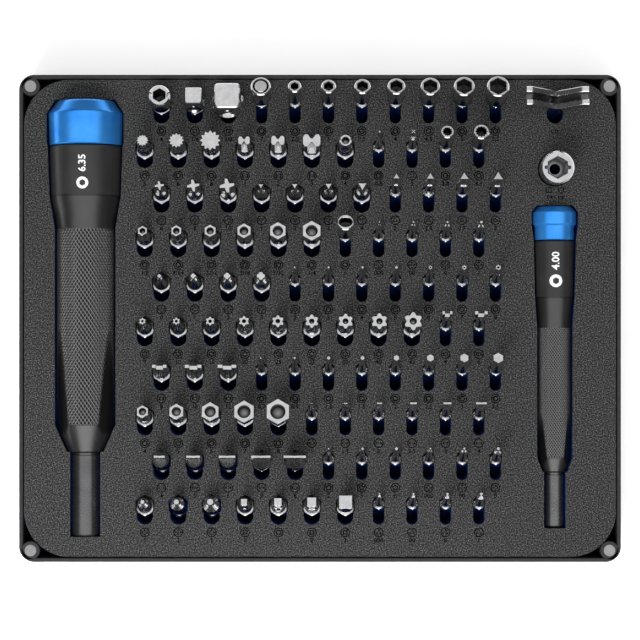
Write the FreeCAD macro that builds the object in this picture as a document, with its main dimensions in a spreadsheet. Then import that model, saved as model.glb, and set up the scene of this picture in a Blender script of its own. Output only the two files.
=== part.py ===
import FreeCAD, Part
import os
from collections import namedtuple
from math import cos, pi, radians, sin

import Sketcher

# Precision screwdriver set: a tray with a foam insert, 110 bits that lean back in ten rows, an upright
# drive adapter, a wing nut driver and two handles with spinning caps.
# Millimetres. X runs along the case, Y from its front to its back, Z up. The origin is the middle of its base.

SIZES = {
    # case
    "case_long": 213.7,
    "case_deep": 173.0,
    "case_tall": 20.7,
    "case_corner_radius": 5.4,
    "case_wall": 1.5,
    "case_floor": 2.0,
    "boss_inset": 4.15,
    "boss_radius": 3.3,
    "corner_magnet_radius": 2.05,
    "corner_magnet_tall": 3.0,
    # foam insert
    "foam_edge_gap": 0.3,
    "foam_corner_radius": 16.3,
    "foam_top": 20.0,
    "foam_skin_thick": 1.4,
    # bit slots: rows count from the back, columns from the left
    "slot_length": 10.1,
    "slot_floor": 5.0,
    "large_slot_width": 5.8,
    "small_slot_width": 4.1,
    "column_pitch": 11.86,
    "odd_row_first_column": -56.3,
    "even_row_first_column": -62.2,
    "first_row_front": 69.2,
    "row_pitch": 15.83,
    "bit_clearance": 0.2,
    # quarter inch bits
    "large_across": 6.35,
    "large_length": 25.0,
    "large_hex_length": 13.6,
    "large_shoulder_length": 1.2,
    "large_neck_radius": 2.3,
    "large_tip_length": 6.0,
    "large_tilt": 12.0,
    # four millimetre bits
    "small_across": 4.0,
    "small_length": 28.0,
    "small_hex_length": 13.8,
    "small_shoulder_length": 1.4,
    "small_neck_radius": 1.4,
    "small_tip_length": 4.5,
    "small_tilt": 20.0,
    "socket_head_length": 9.0,
    "socket_depth": 4.5,
    "flat_blade_thick": 0.8,
    "lift_out": 30.0,
    # wing nut driver and upright adapter share a column on the right
    "side_column": 83.4,
    "wing_wide": 21.8,
    "wing_thick": 6.7,
    "wing_tall": 9.0,
    "wing_channel": 2.8,
    "wing_notch": 5.5,
    "wing_end": 2.0,
    "adapter_row": 52.95,
    "adapter_radius": 5.85,
    "adapter_base": 4.8,
    "adapter_length": 25.0,
    "adapter_socket_depth": 10.0,
    "adapter_hole_radius": 1.95,
    "adapter_square_depth": 7.5,
    "socket_play": 0.1,
    # large driver, measured from the end of its shank
    "large_driver_middle": -83.4,
    "large_driver_front": -77.2,
    "large_driver_height": 16.6,
    "large_driver_shank_radius": 4.97,
    "large_driver_tang_radius": 4.0,
    "large_driver_tang_end": 55.0,
    "large_driver_socket_depth": 12.0,
    "large_driver_magnet_radius": 2.5,
    "large_driver_magnet_long": 3.0,
    "large_driver_nose": 29.8,
    "large_driver_nose_radius": 6.1,
    "large_driver_grip_start": 39.4,
    "large_driver_grip_radius": 10.4,
    "large_driver_grip_end": 109.2,
    "large_driver_collar": 121.1,
    "large_driver_collar_radius": 12.3,
    "large_driver_rear": 138.3,
    "large_driver_rear_radius": 12.9,
    "large_driver_boss_radius": 4.5,
    "large_driver_bearing_start": 140.3,
    "large_driver_bearing_wide": 6.0,
    "large_driver_race_bore": 3.0,
    "large_driver_inner_race_radius": 4.9,
    "large_driver_outer_race_bore": 7.6,
    "large_driver_outer_race_radius": 9.5,
    "large_driver_ball_radius": 1.6,
    "large_driver_screw_head_radius": 4.2,
    "large_driver_screw_head_tall": 2.5,
    "large_driver_screw_long": 20.0,
    "large_driver_cap_start": 138.7,
    "large_driver_cap_skirt_radius": 12.9,
    "large_driver_cap_rim_start": 140.0,
    "large_driver_cap_rim_lead": 9.0,
    "large_driver_cap_rim_radius": 13.3,
    "large_driver_cap_relief_radius": 5.6,
    "large_driver_cap_relief_end": 149.6,
    "large_driver_cap_shoulder": 150.1,
    "large_driver_cap_top_radius": 10.2,
    "large_driver_cap_top": 154.4,
    # small driver, measured from the end of its shank
    "small_driver_middle": 83.4,
    "small_driver_front": -74.2,
    "small_driver_height": 16.6,
    "small_driver_shank_radius": 3.46,
    "small_driver_tang_radius": 2.6,
    "small_driver_tang_end": 38.0,
    "small_driver_socket_depth": 10.0,
    "small_driver_magnet_radius": 1.6,
    "small_driver_magnet_long": 2.5,
    "small_driver_nose": 19.7,
    "small_driver_nose_radius": 3.98,
    "small_driver_grip_start": 24.7,
    "small_driver_grip_radius": 5.91,
    "small_driver_grip_end": 71.25,
    "small_driver_collar": 82.1,
    "small_driver_collar_radius": 6.7,
    "small_driver_rear": 101.8,
    "small_driver_rear_radius": 7.15,
    "small_driver_boss_radius": 2.8,
    "small_driver_bearing_start": 103.1,
    "small_driver_bearing_wide": 4.0,
    "small_driver_race_bore": 2.0,
    "small_driver_inner_race_radius": 3.0,
    "small_driver_outer_race_bore": 4.5,
    "small_driver_outer_race_radius": 5.5,
    "small_driver_ball_radius": 0.95,
    "small_driver_screw_head_radius": 2.6,
    "small_driver_screw_head_tall": 1.6,
    "small_driver_screw_long": 12.0,
    "small_driver_cap_start": 102.1,
    "small_driver_cap_skirt_radius": 7.12,
    "small_driver_cap_rim_start": 107.4,
    "small_driver_cap_rim_lead": 0.3,
    "small_driver_cap_rim_radius": 7.88,
    "small_driver_cap_relief_radius": 3.4,
    "small_driver_cap_relief_end": 109.3,
    "small_driver_cap_shoulder": 112.0,
    "small_driver_cap_top_radius": 6.07,
    "small_driver_cap_top": 113.9,
    "groove_play": 0.12,
    "screw_play": 0.05,
    "recess_gap": 0.4,
}

BEARING_BALLS = 7

# A family of bits in neighbouring slots of one row: its node, the kind of shank, the shape of the tip,
# its row and first column, and one size per bit (across flats, or the tip's width).
Family = namedtuple("Family", "node shank tip row column widths")

FAMILIES = [
    Family("bit_holder_adapter", "large", "holder", 1, 1, [7.5]),
    Family("square_drive_small", "large", "square_drive", 1, 2, [6.35]),
    Family("square_drive_large", "large", "square_drive", 1, 3, [9.5]),
    Family("post_socket_bit", "small", "post_socket", 1, 4, [7.0]),
    Family("nut_socket_bits", "small", "nut_socket", 1, 5, [2.5, 3.0, 3.5, 4.0, 4.5, 5.0, 5.5]),
    Family("spline_bits", "large", "spline", 2, 1, [4.4, 5.6, 7.6]),
    Family("clutch_bits", "large", "clutch", 2, 4, [4.2, 4.8, 6.3]),
    Family("ring_tip_bit", "large", "ring", 2, 7, [4.2]),
    Family("eject_pin_bit", "small", "pin", 2, 8, [0.8]),
    Family("fine_x_bit", "small", "fine_x", 2, 9, [2.0]),
    Family("toothed_socket_bits", "small", "toothed_socket", 2, 10, [3.3, 4.1]),
    Family("offset_cross_bits", "large", "offset_cross", 3, 1, [3.4, 4.5, 5.3]),
    Family("three_groove_bits", "large", "three_groove", 3, 4, [1.8, 2.0, 2.3, 3.0]),
    Family("triangle_bits", "small", "triangle", 3, 8, [2.3, 2.7, 3.1, 3.4]),
    Family("inch_hex_bits", "large", "hollow_hex", 4, 1, [3.18, 3.57, 3.97, 4.76, 5.56, 6.35]),
    Family("oval_socket_bit", "small", "oval_socket", 4, 7, [5.9]),
    Family("fine_pointed_cross_bits", "small", "cross", 4, 8, [1.2, 1.6, 2.0, 2.4]),
    Family("ribbed_cross_bits", "large", "ribbed_cross", 5, 1, [2.0, 2.8, 3.6, 4.4]),
    Family("small_six_lobe_bits", "small", "six_lobe", 5, 5, [0.95, 1.1, 1.2, 1.35]),
    Family("small_hollow_six_lobe_bits", "small", "hollow_six_lobe", 5, 9, [1.65, 1.95, 2.25]),
    Family("large_six_lobe_bits", "large", "hollow_six_lobe", 6, 1,
           [2.58, 2.82, 3.37, 3.95, 4.5, 5.07, 5.6, 5.96, 6.77]),
    Family("small_fork_bits", "small", "fork", 6, 10, [3.6, 4.5]),
    Family("large_fork_bits", "large", "fork", 7, 1, [5.2, 6.0, 6.6]),
    Family("small_hex_bits", "small", "hex", 7, 4, [0.7, 0.9, 1.3, 1.5, 2.0, 2.5, 3.0, 3.5]),
    Family("metric_hex_bits", "large", "hollow_hex", 8, 1, [4.0, 5.0, 6.0, 7.0, 8.0]),
    Family("small_flat_bits", "small", "flat", 8, 6, [1.0, 1.5, 2.0, 2.5, 3.0, 4.0]),
    Family("large_flat_bits", "large", "flat", 9, 1, [4.0, 5.0, 6.0, 7.0, 8.0]),
    Family("five_lobe_bits", "small", "five_lobe", 9, 6, [0.8, 1.2, 1.5]),
    Family("small_cross_bits", "small", "cross", 9, 9, [1.5, 2.0, 2.6]),
    Family("large_cross_bits", "large", "cross", 10, 1, [3.6, 4.8, 5.8]),
    Family("square_tip_bits", "large", "square", 10, 4, [2.3, 2.8, 3.3, 4.7]),
    Family("three_wing_bits", "small", "three_wing", 10, 8, [1.4, 1.8, 2.2, 2.6]),
]

doc = FreeCAD.newDocument("ScrewdriverSet")
sheet = doc.addObject("Spreadsheet::Sheet", "Sizes")
nodes = []


def fill_sheet():
    """Write each size and each bit's width into the sheet, one row each, with its name as the alias."""
    cells = dict(SIZES)
    for family in FAMILIES:
        cells.update({f"{family.node}_{n}": width for n, width in enumerate(family.widths, 1)})
    for line, (name, value) in enumerate(cells.items(), 1):
        sheet.set(f"A{line}", name)
        sheet.set(f"B{line}", str(value))
        sheet.setAlias(f"B{line}", name)
    doc.recompute()


def size(expression):
    """The value of an expression over the sheet's aliases."""
    return float(sheet.evalExpression(expression))


def bound(expression):
    """The same expression as other objects write it, with the sheet's name before each alias."""
    words = expression.replace("(", " ( ").replace(")", " ) ").split()
    return " ".join(f"Sizes.{word}" if word.isidentifier() else word for word in words)


def primitive(kind, name, base=("0", "0", "0"), rotation=None, **properties):
    """A Part primitive with its sizes and its place bound to the sheet."""
    made = doc.addObject(f"Part::{kind}", name)
    made.Placement.Rotation = rotation or FreeCAD.Rotation()
    for prop, value in properties.items():
        if isinstance(value, str):
            made.setExpression(prop, bound(value))
        else:
            setattr(made, prop, value)
    for axis, value in zip("xyz", base):
        if value != "0":
            made.setExpression(f"Placement.Base.{axis}", bound(value))
    return made


def about_z(degrees):
    return FreeCAD.Rotation(FreeCAD.Vector(0, 0, 1), degrees)


def rod(name, radius, foot, tall, base=("0", "0")):
    """An upright cylinder that starts at the height foot."""
    return primitive("Cylinder", name, (*base, foot), Radius=radius, Height=tall)


def cone(name, low_radius, high_radius, foot, tall):
    return primitive("Cone", name, ("0", "0", foot), Radius1=low_radius, Radius2=high_radius, Height=tall)


def prism(name, sides, circumradius, foot, tall, turn=90):
    """An upright regular prism with a corner towards +Y, unless it is turned further."""
    return primitive("Prism", name, ("0", "0", foot), about_z(turn), Polygon=sides,
                     Circumradius=circumradius, Height=tall)


def block(name, wide, deep, foot, tall, top_wide=None, top_deep=None, turn=0, from_axis=False):
    """An upright block, tapered to its top's width and depth. It starts at the axis if from_axis is set."""
    tops = top_wide or wide, top_deep or deep
    near = ("0", "0") if from_axis else (f"- ( {deep} ) / 2", f"- ( {tops[1]} ) / 2")
    far = (deep, tops[1]) if from_axis else (f"( {deep} ) / 2", f"( {tops[1]} ) / 2")
    upright = about_z(turn).multiply(FreeCAD.Rotation(FreeCAD.Vector(1, 0, 0), 90))
    return primitive("Wedge", name, ("0", "0", foot), upright,
                     Xmin=f"- ( {wide} ) / 2", Xmax=f"( {wide} ) / 2", Ymin="0", Ymax=tall,
                     Zmin=near[0], Zmax=far[0], X2min=f"- ( {tops[0]} ) / 2", X2max=f"( {tops[0]} ) / 2",
                     Z2min=near[1], Z2max=far[1])


def joined(name, pieces):
    """One solid from several overlapping ones."""
    if len(pieces) == 1:
        return pieces[0]
    made = doc.addObject("Part::MultiFuse", name)
    made.Shapes = pieces
    return made


def less(name, base, tools):
    """A solid without what its tools cover. The tools may not overlap one another."""
    if not tools:
        return base
    made = doc.addObject("Part::Cut", name)
    made.Base = base
    made.Tool = tools[0] if len(tools) == 1 else together(f"{name}_tools", tools)
    return made


def together(name, pieces):
    made = doc.addObject("Part::Compound", name)
    made.Links = pieces
    return made


def named(made, label):
    """Mark an object as a finished sub-part with this name."""
    made.Label = label
    nodes.append(made)
    return made


def origin_plane(body, role):
    return next(f for f in body.Origin.OriginFeatures if f.Role == role)


def sketch_on(body, name, height="0"):
    sketch = body.newObject("Sketcher::SketchObject", name)
    sketch.AttachmentSupport = (origin_plane(body, "XY_Plane"), [""])
    sketch.MapMode = "FlatFace"
    if height != "0":
        sketch.setExpression("AttachmentOffset.Base.z", bound(height))
    return sketch


def outline(sketch, corners):
    """A closed polygon whose corners are held at expressions over the sheet."""
    places = [FreeCAD.Vector(size(x), size(y), 0) for x, y in corners]
    count = len(places)
    first = sketch.addGeometry([Part.LineSegment(places[n], places[(n + 1) % count]) for n in range(count)])
    first = first[0] if isinstance(first, tuple) else first
    for n, (x, y) in enumerate(corners):
        line = first + n
        sketch.addConstraint(Sketcher.Constraint("Coincident", line, 2, first + (n + 1) % count, 1))
        for kind, value, axis in (("DistanceX", x, -2), ("DistanceY", y, -1)):
            if size(value) == 0:
                sketch.addConstraint(Sketcher.Constraint("PointOnObject", line, 1, axis))
                continue
            held = sketch.addConstraint(Sketcher.Constraint(kind, -1, 1, line, 1, size(value)))
            sketch.setExpression(f"Constraints[{held}]", bound(value))


def rounded_rectangle(sketch, half_long, half_deep, radius):
    """Four sides and four corner arcs, centred on the origin."""
    turns = [(1, 1, 0), (-1, 1, 90), (-1, -1, 180), (1, -1, 270)]
    ends = []
    for side_x, side_y, start in turns:
        centre = FreeCAD.Vector(side_x * (half_long - radius), side_y * (half_deep - radius), 0)
        circle = Part.Circle(centre, FreeCAD.Vector(0, 0, 1), radius)
        arc = Part.ArcOfCircle(circle, radians(start), radians(start + 90))
        sketch.addGeometry(arc)
        ends.append((arc.StartPoint, arc.EndPoint))
    for (_, end), (start, _) in zip(ends, ends[1:] + ends[:1]):
        sketch.addGeometry(Part.LineSegment(end, start))


def circles(sketch, centres, radius):
    for x, y in centres:
        sketch.addGeometry(Part.Circle(FreeCAD.Vector(x, y, 0), FreeCAD.Vector(0, 0, 1), radius))


def pad(body, sketch, tall):
    made = body.newObject("PartDesign::Pad", f"{sketch.Name}_pad")
    made.Profile = sketch
    made.setExpression("Length", bound(tall))
    return made


def pocket(body, sketch, depth):
    """Cut a sketch's outlines downwards, or fail if nothing was cut."""
    doc.recompute()
    before = body.Shape.Volume
    made = body.newObject("PartDesign::Pocket", f"{sketch.Name}_pocket")
    made.Profile = sketch
    made.setExpression("Length", bound(depth))
    doc.recompute()
    if not body.Shape.Volume < before:
        raise ValueError(f"{made.Name} cut nothing")
    return made


def turned(name, corners):
    """A body turned about the Y axis from corners given as radius and distance along the axis."""
    body = doc.addObject("PartDesign::Body", name)
    sketch = sketch_on(body, f"{name}_profile")
    outline(sketch, corners)
    made = body.newObject("PartDesign::Revolution", f"{name}_turned")
    made.Profile = sketch
    made.ReferenceAxis = (sketch, ["V_Axis"])
    made.Angle = 360.0
    return body


# ---- case ----

def corner_places():
    reach_x = size("case_long / 2 - boss_inset")
    reach_y = size("case_deep / 2 - boss_inset")
    return {f"{end}_{side}": (sx * reach_x, sy * reach_y)
            for end, sy in (("front", -1), ("rear", 1)) for side, sx in (("left", -1), ("right", 1))}


def make_tray():
    """The tray: a padded block, hollowed from its rim down to its floor, with a post for each magnet."""
    body = doc.addObject("PartDesign::Body", "tray_body")
    half_long, half_deep = size("case_long / 2"), size("case_deep / 2")
    base = sketch_on(body, "tray_base")
    rounded_rectangle(base, half_long, half_deep, size("case_corner_radius"))
    pad(body, base, "case_tall")
    inside = sketch_on(body, "tray_inside", "case_tall")
    wall = size("case_wall")
    rounded_rectangle(inside, half_long - wall, half_deep - wall, size("case_corner_radius - case_wall"))
    pocket(body, inside, "case_tall - case_floor")
    posts = sketch_on(body, "tray_posts", "case_floor / 2")
    circles(posts, corner_places().values(), size("boss_radius"))
    pad(body, posts, "case_tall - case_floor / 2")
    seats = sketch_on(body, "tray_magnet_seats", "case_tall")
    circles(seats, corner_places().values(), size("corner_magnet_radius"))
    pocket(body, seats, "corner_magnet_tall")
    named(body, "case_tray")


def make_corner_magnets():
    for corner, (x, y) in corner_places().items():
        magnet = rod(f"magnet_{corner}", "corner_magnet_radius", "case_tall - corner_magnet_tall",
                     "corner_magnet_tall", (str(x), str(y)))
        named(magnet, f"corner_magnet_{corner}")


# ---- bits ----

def slot_centre_x(row, column):
    first = "odd_row_first_column" if row % 2 else "even_row_first_column"
    return size(first) + (column - 1) * size("column_pitch")


def slot_front_y(row):
    return size("first_row_front") - (row - 1) * size("row_pitch")


def leaning(shank, x, front):
    """Where a bit stands in its slot: its foot's front corner on the slot's floor, its tip leaning back."""
    tilt = radians(size(f"{shank}_tilt"))
    corner = size(f"{shank}_across / 3 ^ 0.5")
    clear = size("bit_clearance")
    foot = FreeCAD.Vector(x, front + clear + corner * cos(tilt),
                          size("slot_floor") + clear + corner * sin(tilt))
    return FreeCAD.Placement(foot, FreeCAD.Rotation(FreeCAD.Vector(1, 0, 0), -size(f"{shank}_tilt")))


def shank_pieces(name, shank, tip_radius=None):
    """A hexagonal shank, its shoulder and a neck that runs up into the tip."""
    neck_foot = f"{shank}_hex_length"
    neck_tall = f"{shank}_length - {shank}_hex_length - {shank}_tip_length"
    neck = f"{shank}_neck_radius"
    return [
        prism(f"{name}_shank", 6, f"{shank}_across / 3 ^ 0.5", "0", f"{shank}_hex_length"),
        cone(f"{name}_shoulder", f"{shank}_across / 2", neck, neck_foot, f"{shank}_shoulder_length"),
        cone(f"{name}_neck", neck, tip_radius, neck_foot, neck_tall) if tip_radius
        else rod(f"{name}_neck", neck, neck_foot, neck_tall),
    ]


def tip_span(shank):
    """Foot and height of a tip. It starts half a millimetre down in the neck, so that the two are one solid."""
    return f"{shank}_length - {shank}_tip_length - 0.5", f"{shank}_tip_length + 0.5"


def lobes(name, count, width, foot, tall):
    """A round core with lobes around it, one of them towards +Y."""
    core = rod(f"{name}_core", f"{width} * 0.37", foot, tall)
    ring = []
    for n in range(count):
        angle = pi / 2 + 2 * pi * n / count
        ring.append(rod(f"{name}_lobe_{n}", f"{width} * 0.11", foot, tall,
                        (f"{width} * 0.39 * {cos(angle):.6f}", f"{width} * 0.39 * {sin(angle):.6f}")))
    return [core, *ring]


def arms(name, count, thick, reach, foot, tall, top_reach, turn=0.0):
    """Arms that start on the axis and taper towards the top."""
    return [block(f"{name}_arm_{n}", thick, reach, foot, tall, top_deep=top_reach,
                  turn=turn + 360 * n / count, from_axis=True) for n in range(count)]


def hex_tip(name, width, shank):
    return [prism(f"{name}_tip", 6, f"{width} / 3 ^ 0.5", *tip_span(shank))], []


def hollow_hex_tip(name, width, shank):
    pin_hole = rod(f"{name}_pin_hole", f"{width} * 0.27", f"{shank}_length - 3", "4")
    return hex_tip(name, width, shank)[0], [pin_hole]


def six_lobe_tip(name, width, shank):
    return lobes(name, 6, width, *tip_span(shank)), []


def hollow_six_lobe_tip(name, width, shank):
    pin_hole = rod(f"{name}_pin_hole", f"{width} * 0.17", f"{shank}_length - 3", "4")
    return lobes(name, 6, width, *tip_span(shank)), [pin_hole]


def five_lobe_tip(name, width, shank):
    return lobes(name, 5, width, *tip_span(shank)), []


def cross_tip(name, width, shank):
    foot, tall = tip_span(shank)
    return arms(name, 4, f"{width} * 0.28", f"{width} / 2", foot, tall, f"{width} * 0.16"), []


def ribbed_cross_tip(name, width, shank):
    foot, tall = tip_span(shank)
    ribs = arms(f"{name}_rib", 4, f"{width} * 0.14", f"{width} * 0.3", foot, tall, f"{width} * 0.24", 45)
    main = arms(name, 4, f"{width} * 0.26", f"{width} / 2", foot, tall, f"{width} * 0.38")
    return main + ribs, []


def offset_cross_tip(name, width, shank):
    """Four thin arms, each beside the axis instead of across it."""
    foot, tall = tip_span(shank)
    made = []
    for n, (x, y) in enumerate([(1, 0), (0, 1), (-1, 0), (0, -1)]):
        arm = block(f"{name}_arm_{n}", f"{width} * 0.17", f"{width} * 0.5", foot, tall,
                    turn=90 * n, from_axis=True)
        for axis, sign in (("x", x), ("y", y)):
            if sign:
                arm.setExpression(f"Placement.Base.{axis}", bound(f"{sign} * {width} * 0.07"))
        made.append(arm)
    made.append(rod(f"{name}_core", f"{width} * 0.16", foot, tall))
    return made, []


def fine_x_tip(name, width, shank):
    foot, tall = tip_span(shank)
    return arms(name, 4, f"{width} * 0.15", f"{width} / 2", foot, tall, f"{width} / 2", 45), []


def three_wing_tip(name, width, shank):
    foot, tall = tip_span(shank)
    return arms(name, 3, f"{width} * 0.24", f"{width} / 2", foot, tall, f"{width} * 0.42"), []


def spline_tip(name, width, shank):
    """Three squares turned by thirty degrees, which make twelve points."""
    return [prism(f"{name}_square_{n}", 4, f"{width} / 2", *tip_span(shank), turn=30 * n)
            for n in range(3)], []


def clutch_tip(name, width, shank):
    """Two triangles that meet at their points."""
    made = []
    for side, turn in ((-1, 0), (1, 180)):
        half = prism(f"{name}_half_{turn}", 3, f"{width} * 0.4", *tip_span(shank), turn=turn)
        half.setExpression("Placement.Base.x", bound(f"{side} * {width} * 0.3"))
        made.append(half)
    return made, []


def ring_tip(name, width, shank):
    foot, tall = tip_span(shank)
    hole = rod(f"{name}_hole", f"{width} * 0.28", f"{shank}_length - 3.5", "5")
    return [rod(f"{name}_ring", f"{width} / 2", foot, tall)], [hole]


def pin_tip(name, width, shank):
    foot, tall = tip_span(shank)
    return [rod(f"{name}_pin", f"{width} / 2", foot, tall)], []


def triangle_tip(name, width, shank):
    return [prism(f"{name}_tip", 3, f"{width} / 3 ^ 0.5", *tip_span(shank))], []


def three_groove_tip(name, width, shank):
    return [prism(f"{name}_tip", 3, f"{width} / 3 ^ 0.5", *tip_span(shank), turn=-90)], []


def square_tip(name, width, shank):
    return [block(f"{name}_tip", width, width, *tip_span(shank))], []


def flat_tip(name, width, shank):
    foot, tall = tip_span(shank)
    thick = "flat_blade_thick" if shank == "large" else "flat_blade_thick * 0.6"
    return [block(f"{name}_blade", f"{shank}_neck_radius * 1.6", f"{shank}_neck_radius * 1.4", foot, tall,
                  width, thick)], []


def fork_tip(name, width, shank):
    """A flat blade with a notch that leaves two prongs."""
    foot, tall = tip_span(shank)
    blade = block(f"{name}_blade", f"{shank}_neck_radius * 1.8", f"{shank}_neck_radius * 1.4", foot, tall,
                  width, "1.3")
    return [blade], [block(f"{name}_notch", f"{width} * 0.45", "6", f"{shank}_length - 2.6", "3.6")]


def round_head(name, radius):
    return rod(f"{name}_head", radius, "small_length - socket_head_length", "socket_head_length")


def nut_socket_tip(name, width, shank):
    """A round head with a hexagonal socket. Its wall is thicker on a larger nut."""
    socket = prism(f"{name}_socket", 6, f"{width} / 3 ^ 0.5", "small_length - socket_depth",
                   "socket_depth + 1")
    return [round_head(name, f"1.05 + {width} * 0.52")], [socket]


def toothed_socket_tip(name, width, shank):
    teeth = joined(f"{name}_teeth", [
        prism(f"{name}_square_{n}", 4, f"{width} / 2", "small_length - socket_depth", "socket_depth + 1",
              turn=30 * n) for n in range(3)])
    return [round_head(name, f"{width} / 2 + 0.8")], [teeth]


def post_socket_tip(name, width, shank):
    """A round head with a ring cut around a post."""
    foot, tall = "small_length - socket_depth", "socket_depth + 1"
    gap = less(f"{name}_gap", rod(f"{name}_gap_outer", f"{width} * 0.39", foot, tall),
               [rod(f"{name}_gap_inner", f"{width} * 0.33", foot, tall)])
    return [round_head(name, f"{width} / 2")], [gap]


def oval_socket_tip(name, width, shank):
    foot = "small_length - socket_depth"
    oval = joined(f"{name}_oval", [
        rod(f"{name}_oval_{side}", f"{width} * 0.28", foot, "socket_depth + 1",
            (f"{sign} * {width} * 0.1", "0")) for side, sign in (("left", -1), ("right", 1))])
    return [round_head(name, f"{width} / 2")], [oval]


def holder_tip(name, width, shank):
    socket = prism(f"{name}_socket", 6, "( small_across + socket_play ) / 3 ^ 0.5", "large_length - 8", "9")
    return [rod(f"{name}_head", f"{width} / 2", "large_length - 9", "9")], [socket]


def square_drive_tip(name, width, shank):
    """A square drive on a round collar, with half a ball standing out of its front."""
    collar = rod(f"{name}_collar", f"{width} * 0.62", "large_length - 9", "2")
    drive = block(f"{name}_drive", width, width, "large_length - 8", "8")
    ball = primitive("Sphere", f"{name}_ball", ("0", f"- {width} * 0.44", "large_length - 3.5"),
                     Radius=f"{width} * 0.14")
    return [collar, drive, ball], []


TIPS = {
    "hex": hex_tip, "hollow_hex": hollow_hex_tip, "six_lobe": six_lobe_tip,
    "hollow_six_lobe": hollow_six_lobe_tip, "five_lobe": five_lobe_tip, "cross": cross_tip,
    "ribbed_cross": ribbed_cross_tip, "offset_cross": offset_cross_tip, "fine_x": fine_x_tip,
    "three_wing": three_wing_tip, "spline": spline_tip, "clutch": clutch_tip, "ring": ring_tip,
    "pin": pin_tip, "triangle": triangle_tip, "three_groove": three_groove_tip, "square": square_tip,
    "flat": flat_tip, "fork": fork_tip, "nut_socket": nut_socket_tip,
    "toothed_socket": toothed_socket_tip, "post_socket": post_socket_tip,
    "oval_socket": oval_socket_tip, "holder": holder_tip, "square_drive": square_drive_tip,
}
TAPERED = {"hex", "six_lobe", "hollow_six_lobe", "five_lobe", "cross", "pin", "triangle", "three_wing",
           "fine_x"}


def make_bit(name, family, width):
    """One bit, upright, with its foot at the origin."""
    narrow = family.shank == "small" and family.tip in TAPERED
    tip_radius = f"{width} * 0.35 + 0.35" if narrow and size(width) < 2.6 else None
    tips, holes = TIPS[family.tip](name, width, family.shank)
    whole = joined(f"{name}_joined", shank_pieces(name, family.shank, tip_radius) + tips)
    return less(f"{name}_bored", whole, holes)


def make_bits():
    """One node for each family, holding its bits as separate solids in their slots."""
    for family in FAMILIES:
        made = []
        for n in range(len(family.widths)):
            name = f"{family.node}_{n + 1}"
            bit = make_bit(f"{name}_bit", family, name)
            bit.Placement = leaning(family.shank, slot_centre_x(family.row, family.column + n),
                                    slot_front_y(family.row))
            made.append(bit)
        named(made[0] if len(made) == 1 else together(f"{family.node}_group", made), family.node)


def make_wing_nut_driver():
    """A head with a channel between two lips, and a notch that is deepest in the middle."""
    name = "wing_driver"
    foot = "large_length - wing_tall"
    head = block(f"{name}_head", "wing_wide * 0.45", "wing_thick", foot, "wing_tall", "wing_wide")
    channel = block(f"{name}_channel", "wing_wide + 2", "wing_channel", f"{foot} + 3.5", "wing_tall")
    notch = block(f"{name}_notch", "1", "wing_thick + 2", "large_length - wing_notch", "wing_notch + 0.01",
                  "wing_wide - 2 * wing_end")
    head_cut = less(f"{name}_notched", less(f"{name}_channelled", head, [channel]), [notch])
    whole = joined(f"{name}_joined", shank_pieces(name, "large") + [head_cut])
    whole.Placement = leaning("large", size("side_column"), slot_front_y(1))
    named(whole, "wing_nut_driver")


def make_upright_adapter():
    """A round adapter that stands in its own pocket: a hexagonal socket on top, a square one underneath."""
    name = "upright_adapter"
    barrel = rod(f"{name}_barrel", "adapter_radius", "0", "adapter_length")
    socket = prism(f"{name}_socket", 6, "( large_across + socket_play ) / 3 ^ 0.5",
                   "adapter_length - adapter_socket_depth", "adapter_socket_depth + 1")
    hole = rod(f"{name}_hole", "adapter_hole_radius", "adapter_square_depth - 1",
               "adapter_length - adapter_square_depth - adapter_socket_depth + 2")
    square = block(f"{name}_square", "large_across + socket_play", "large_across + socket_play", "-1",
                   "adapter_square_depth + 1")
    made = less(f"{name}_bored", barrel, [joined(f"{name}_hollow", [socket, hole, square])])
    made.Placement.Base = FreeCAD.Vector(size("side_column"), size("adapter_row"), size("adapter_base"))
    named(made, "square_to_hex_adapter")


# ---- drivers ----

def lie_down(made, driver):
    """Put a piece that was turned about Y on the driver's axis, with the shank's end at the front."""
    made.Placement.Base = FreeCAD.Vector(size(f"{driver}_middle"), size(f"{driver}_front"),
                                         size(f"{driver}_height"))


def make_handle(driver):
    """The knurled handle's plain form, bored for the shank in front and for the axle screw behind."""
    screw_end = f"{driver}_bearing_start + {driver}_bearing_wide - {driver}_screw_long"
    body = turned(f"{driver}_handle_body", [
        (f"{driver}_tang_radius", f"{driver}_nose"),
        (f"{driver}_nose_radius", f"{driver}_nose"),
        (f"{driver}_grip_radius", f"{driver}_grip_start"),
        (f"{driver}_grip_radius", f"{driver}_grip_end"),
        (f"{driver}_collar_radius", f"{driver}_collar"),
        (f"{driver}_rear_radius", f"{driver}_rear"),
        (f"{driver}_boss_radius", f"{driver}_rear"),
        (f"{driver}_boss_radius", f"{driver}_bearing_start"),
        (f"{driver}_race_bore", f"{driver}_bearing_start"),
        (f"{driver}_race_bore", screw_end),
        ("0", screw_end),
        ("0", f"{driver}_tang_end"),
        (f"{driver}_tang_radius", f"{driver}_tang_end"),
    ])
    lie_down(body, driver)
    named(body, f"{driver}_handle")


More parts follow.
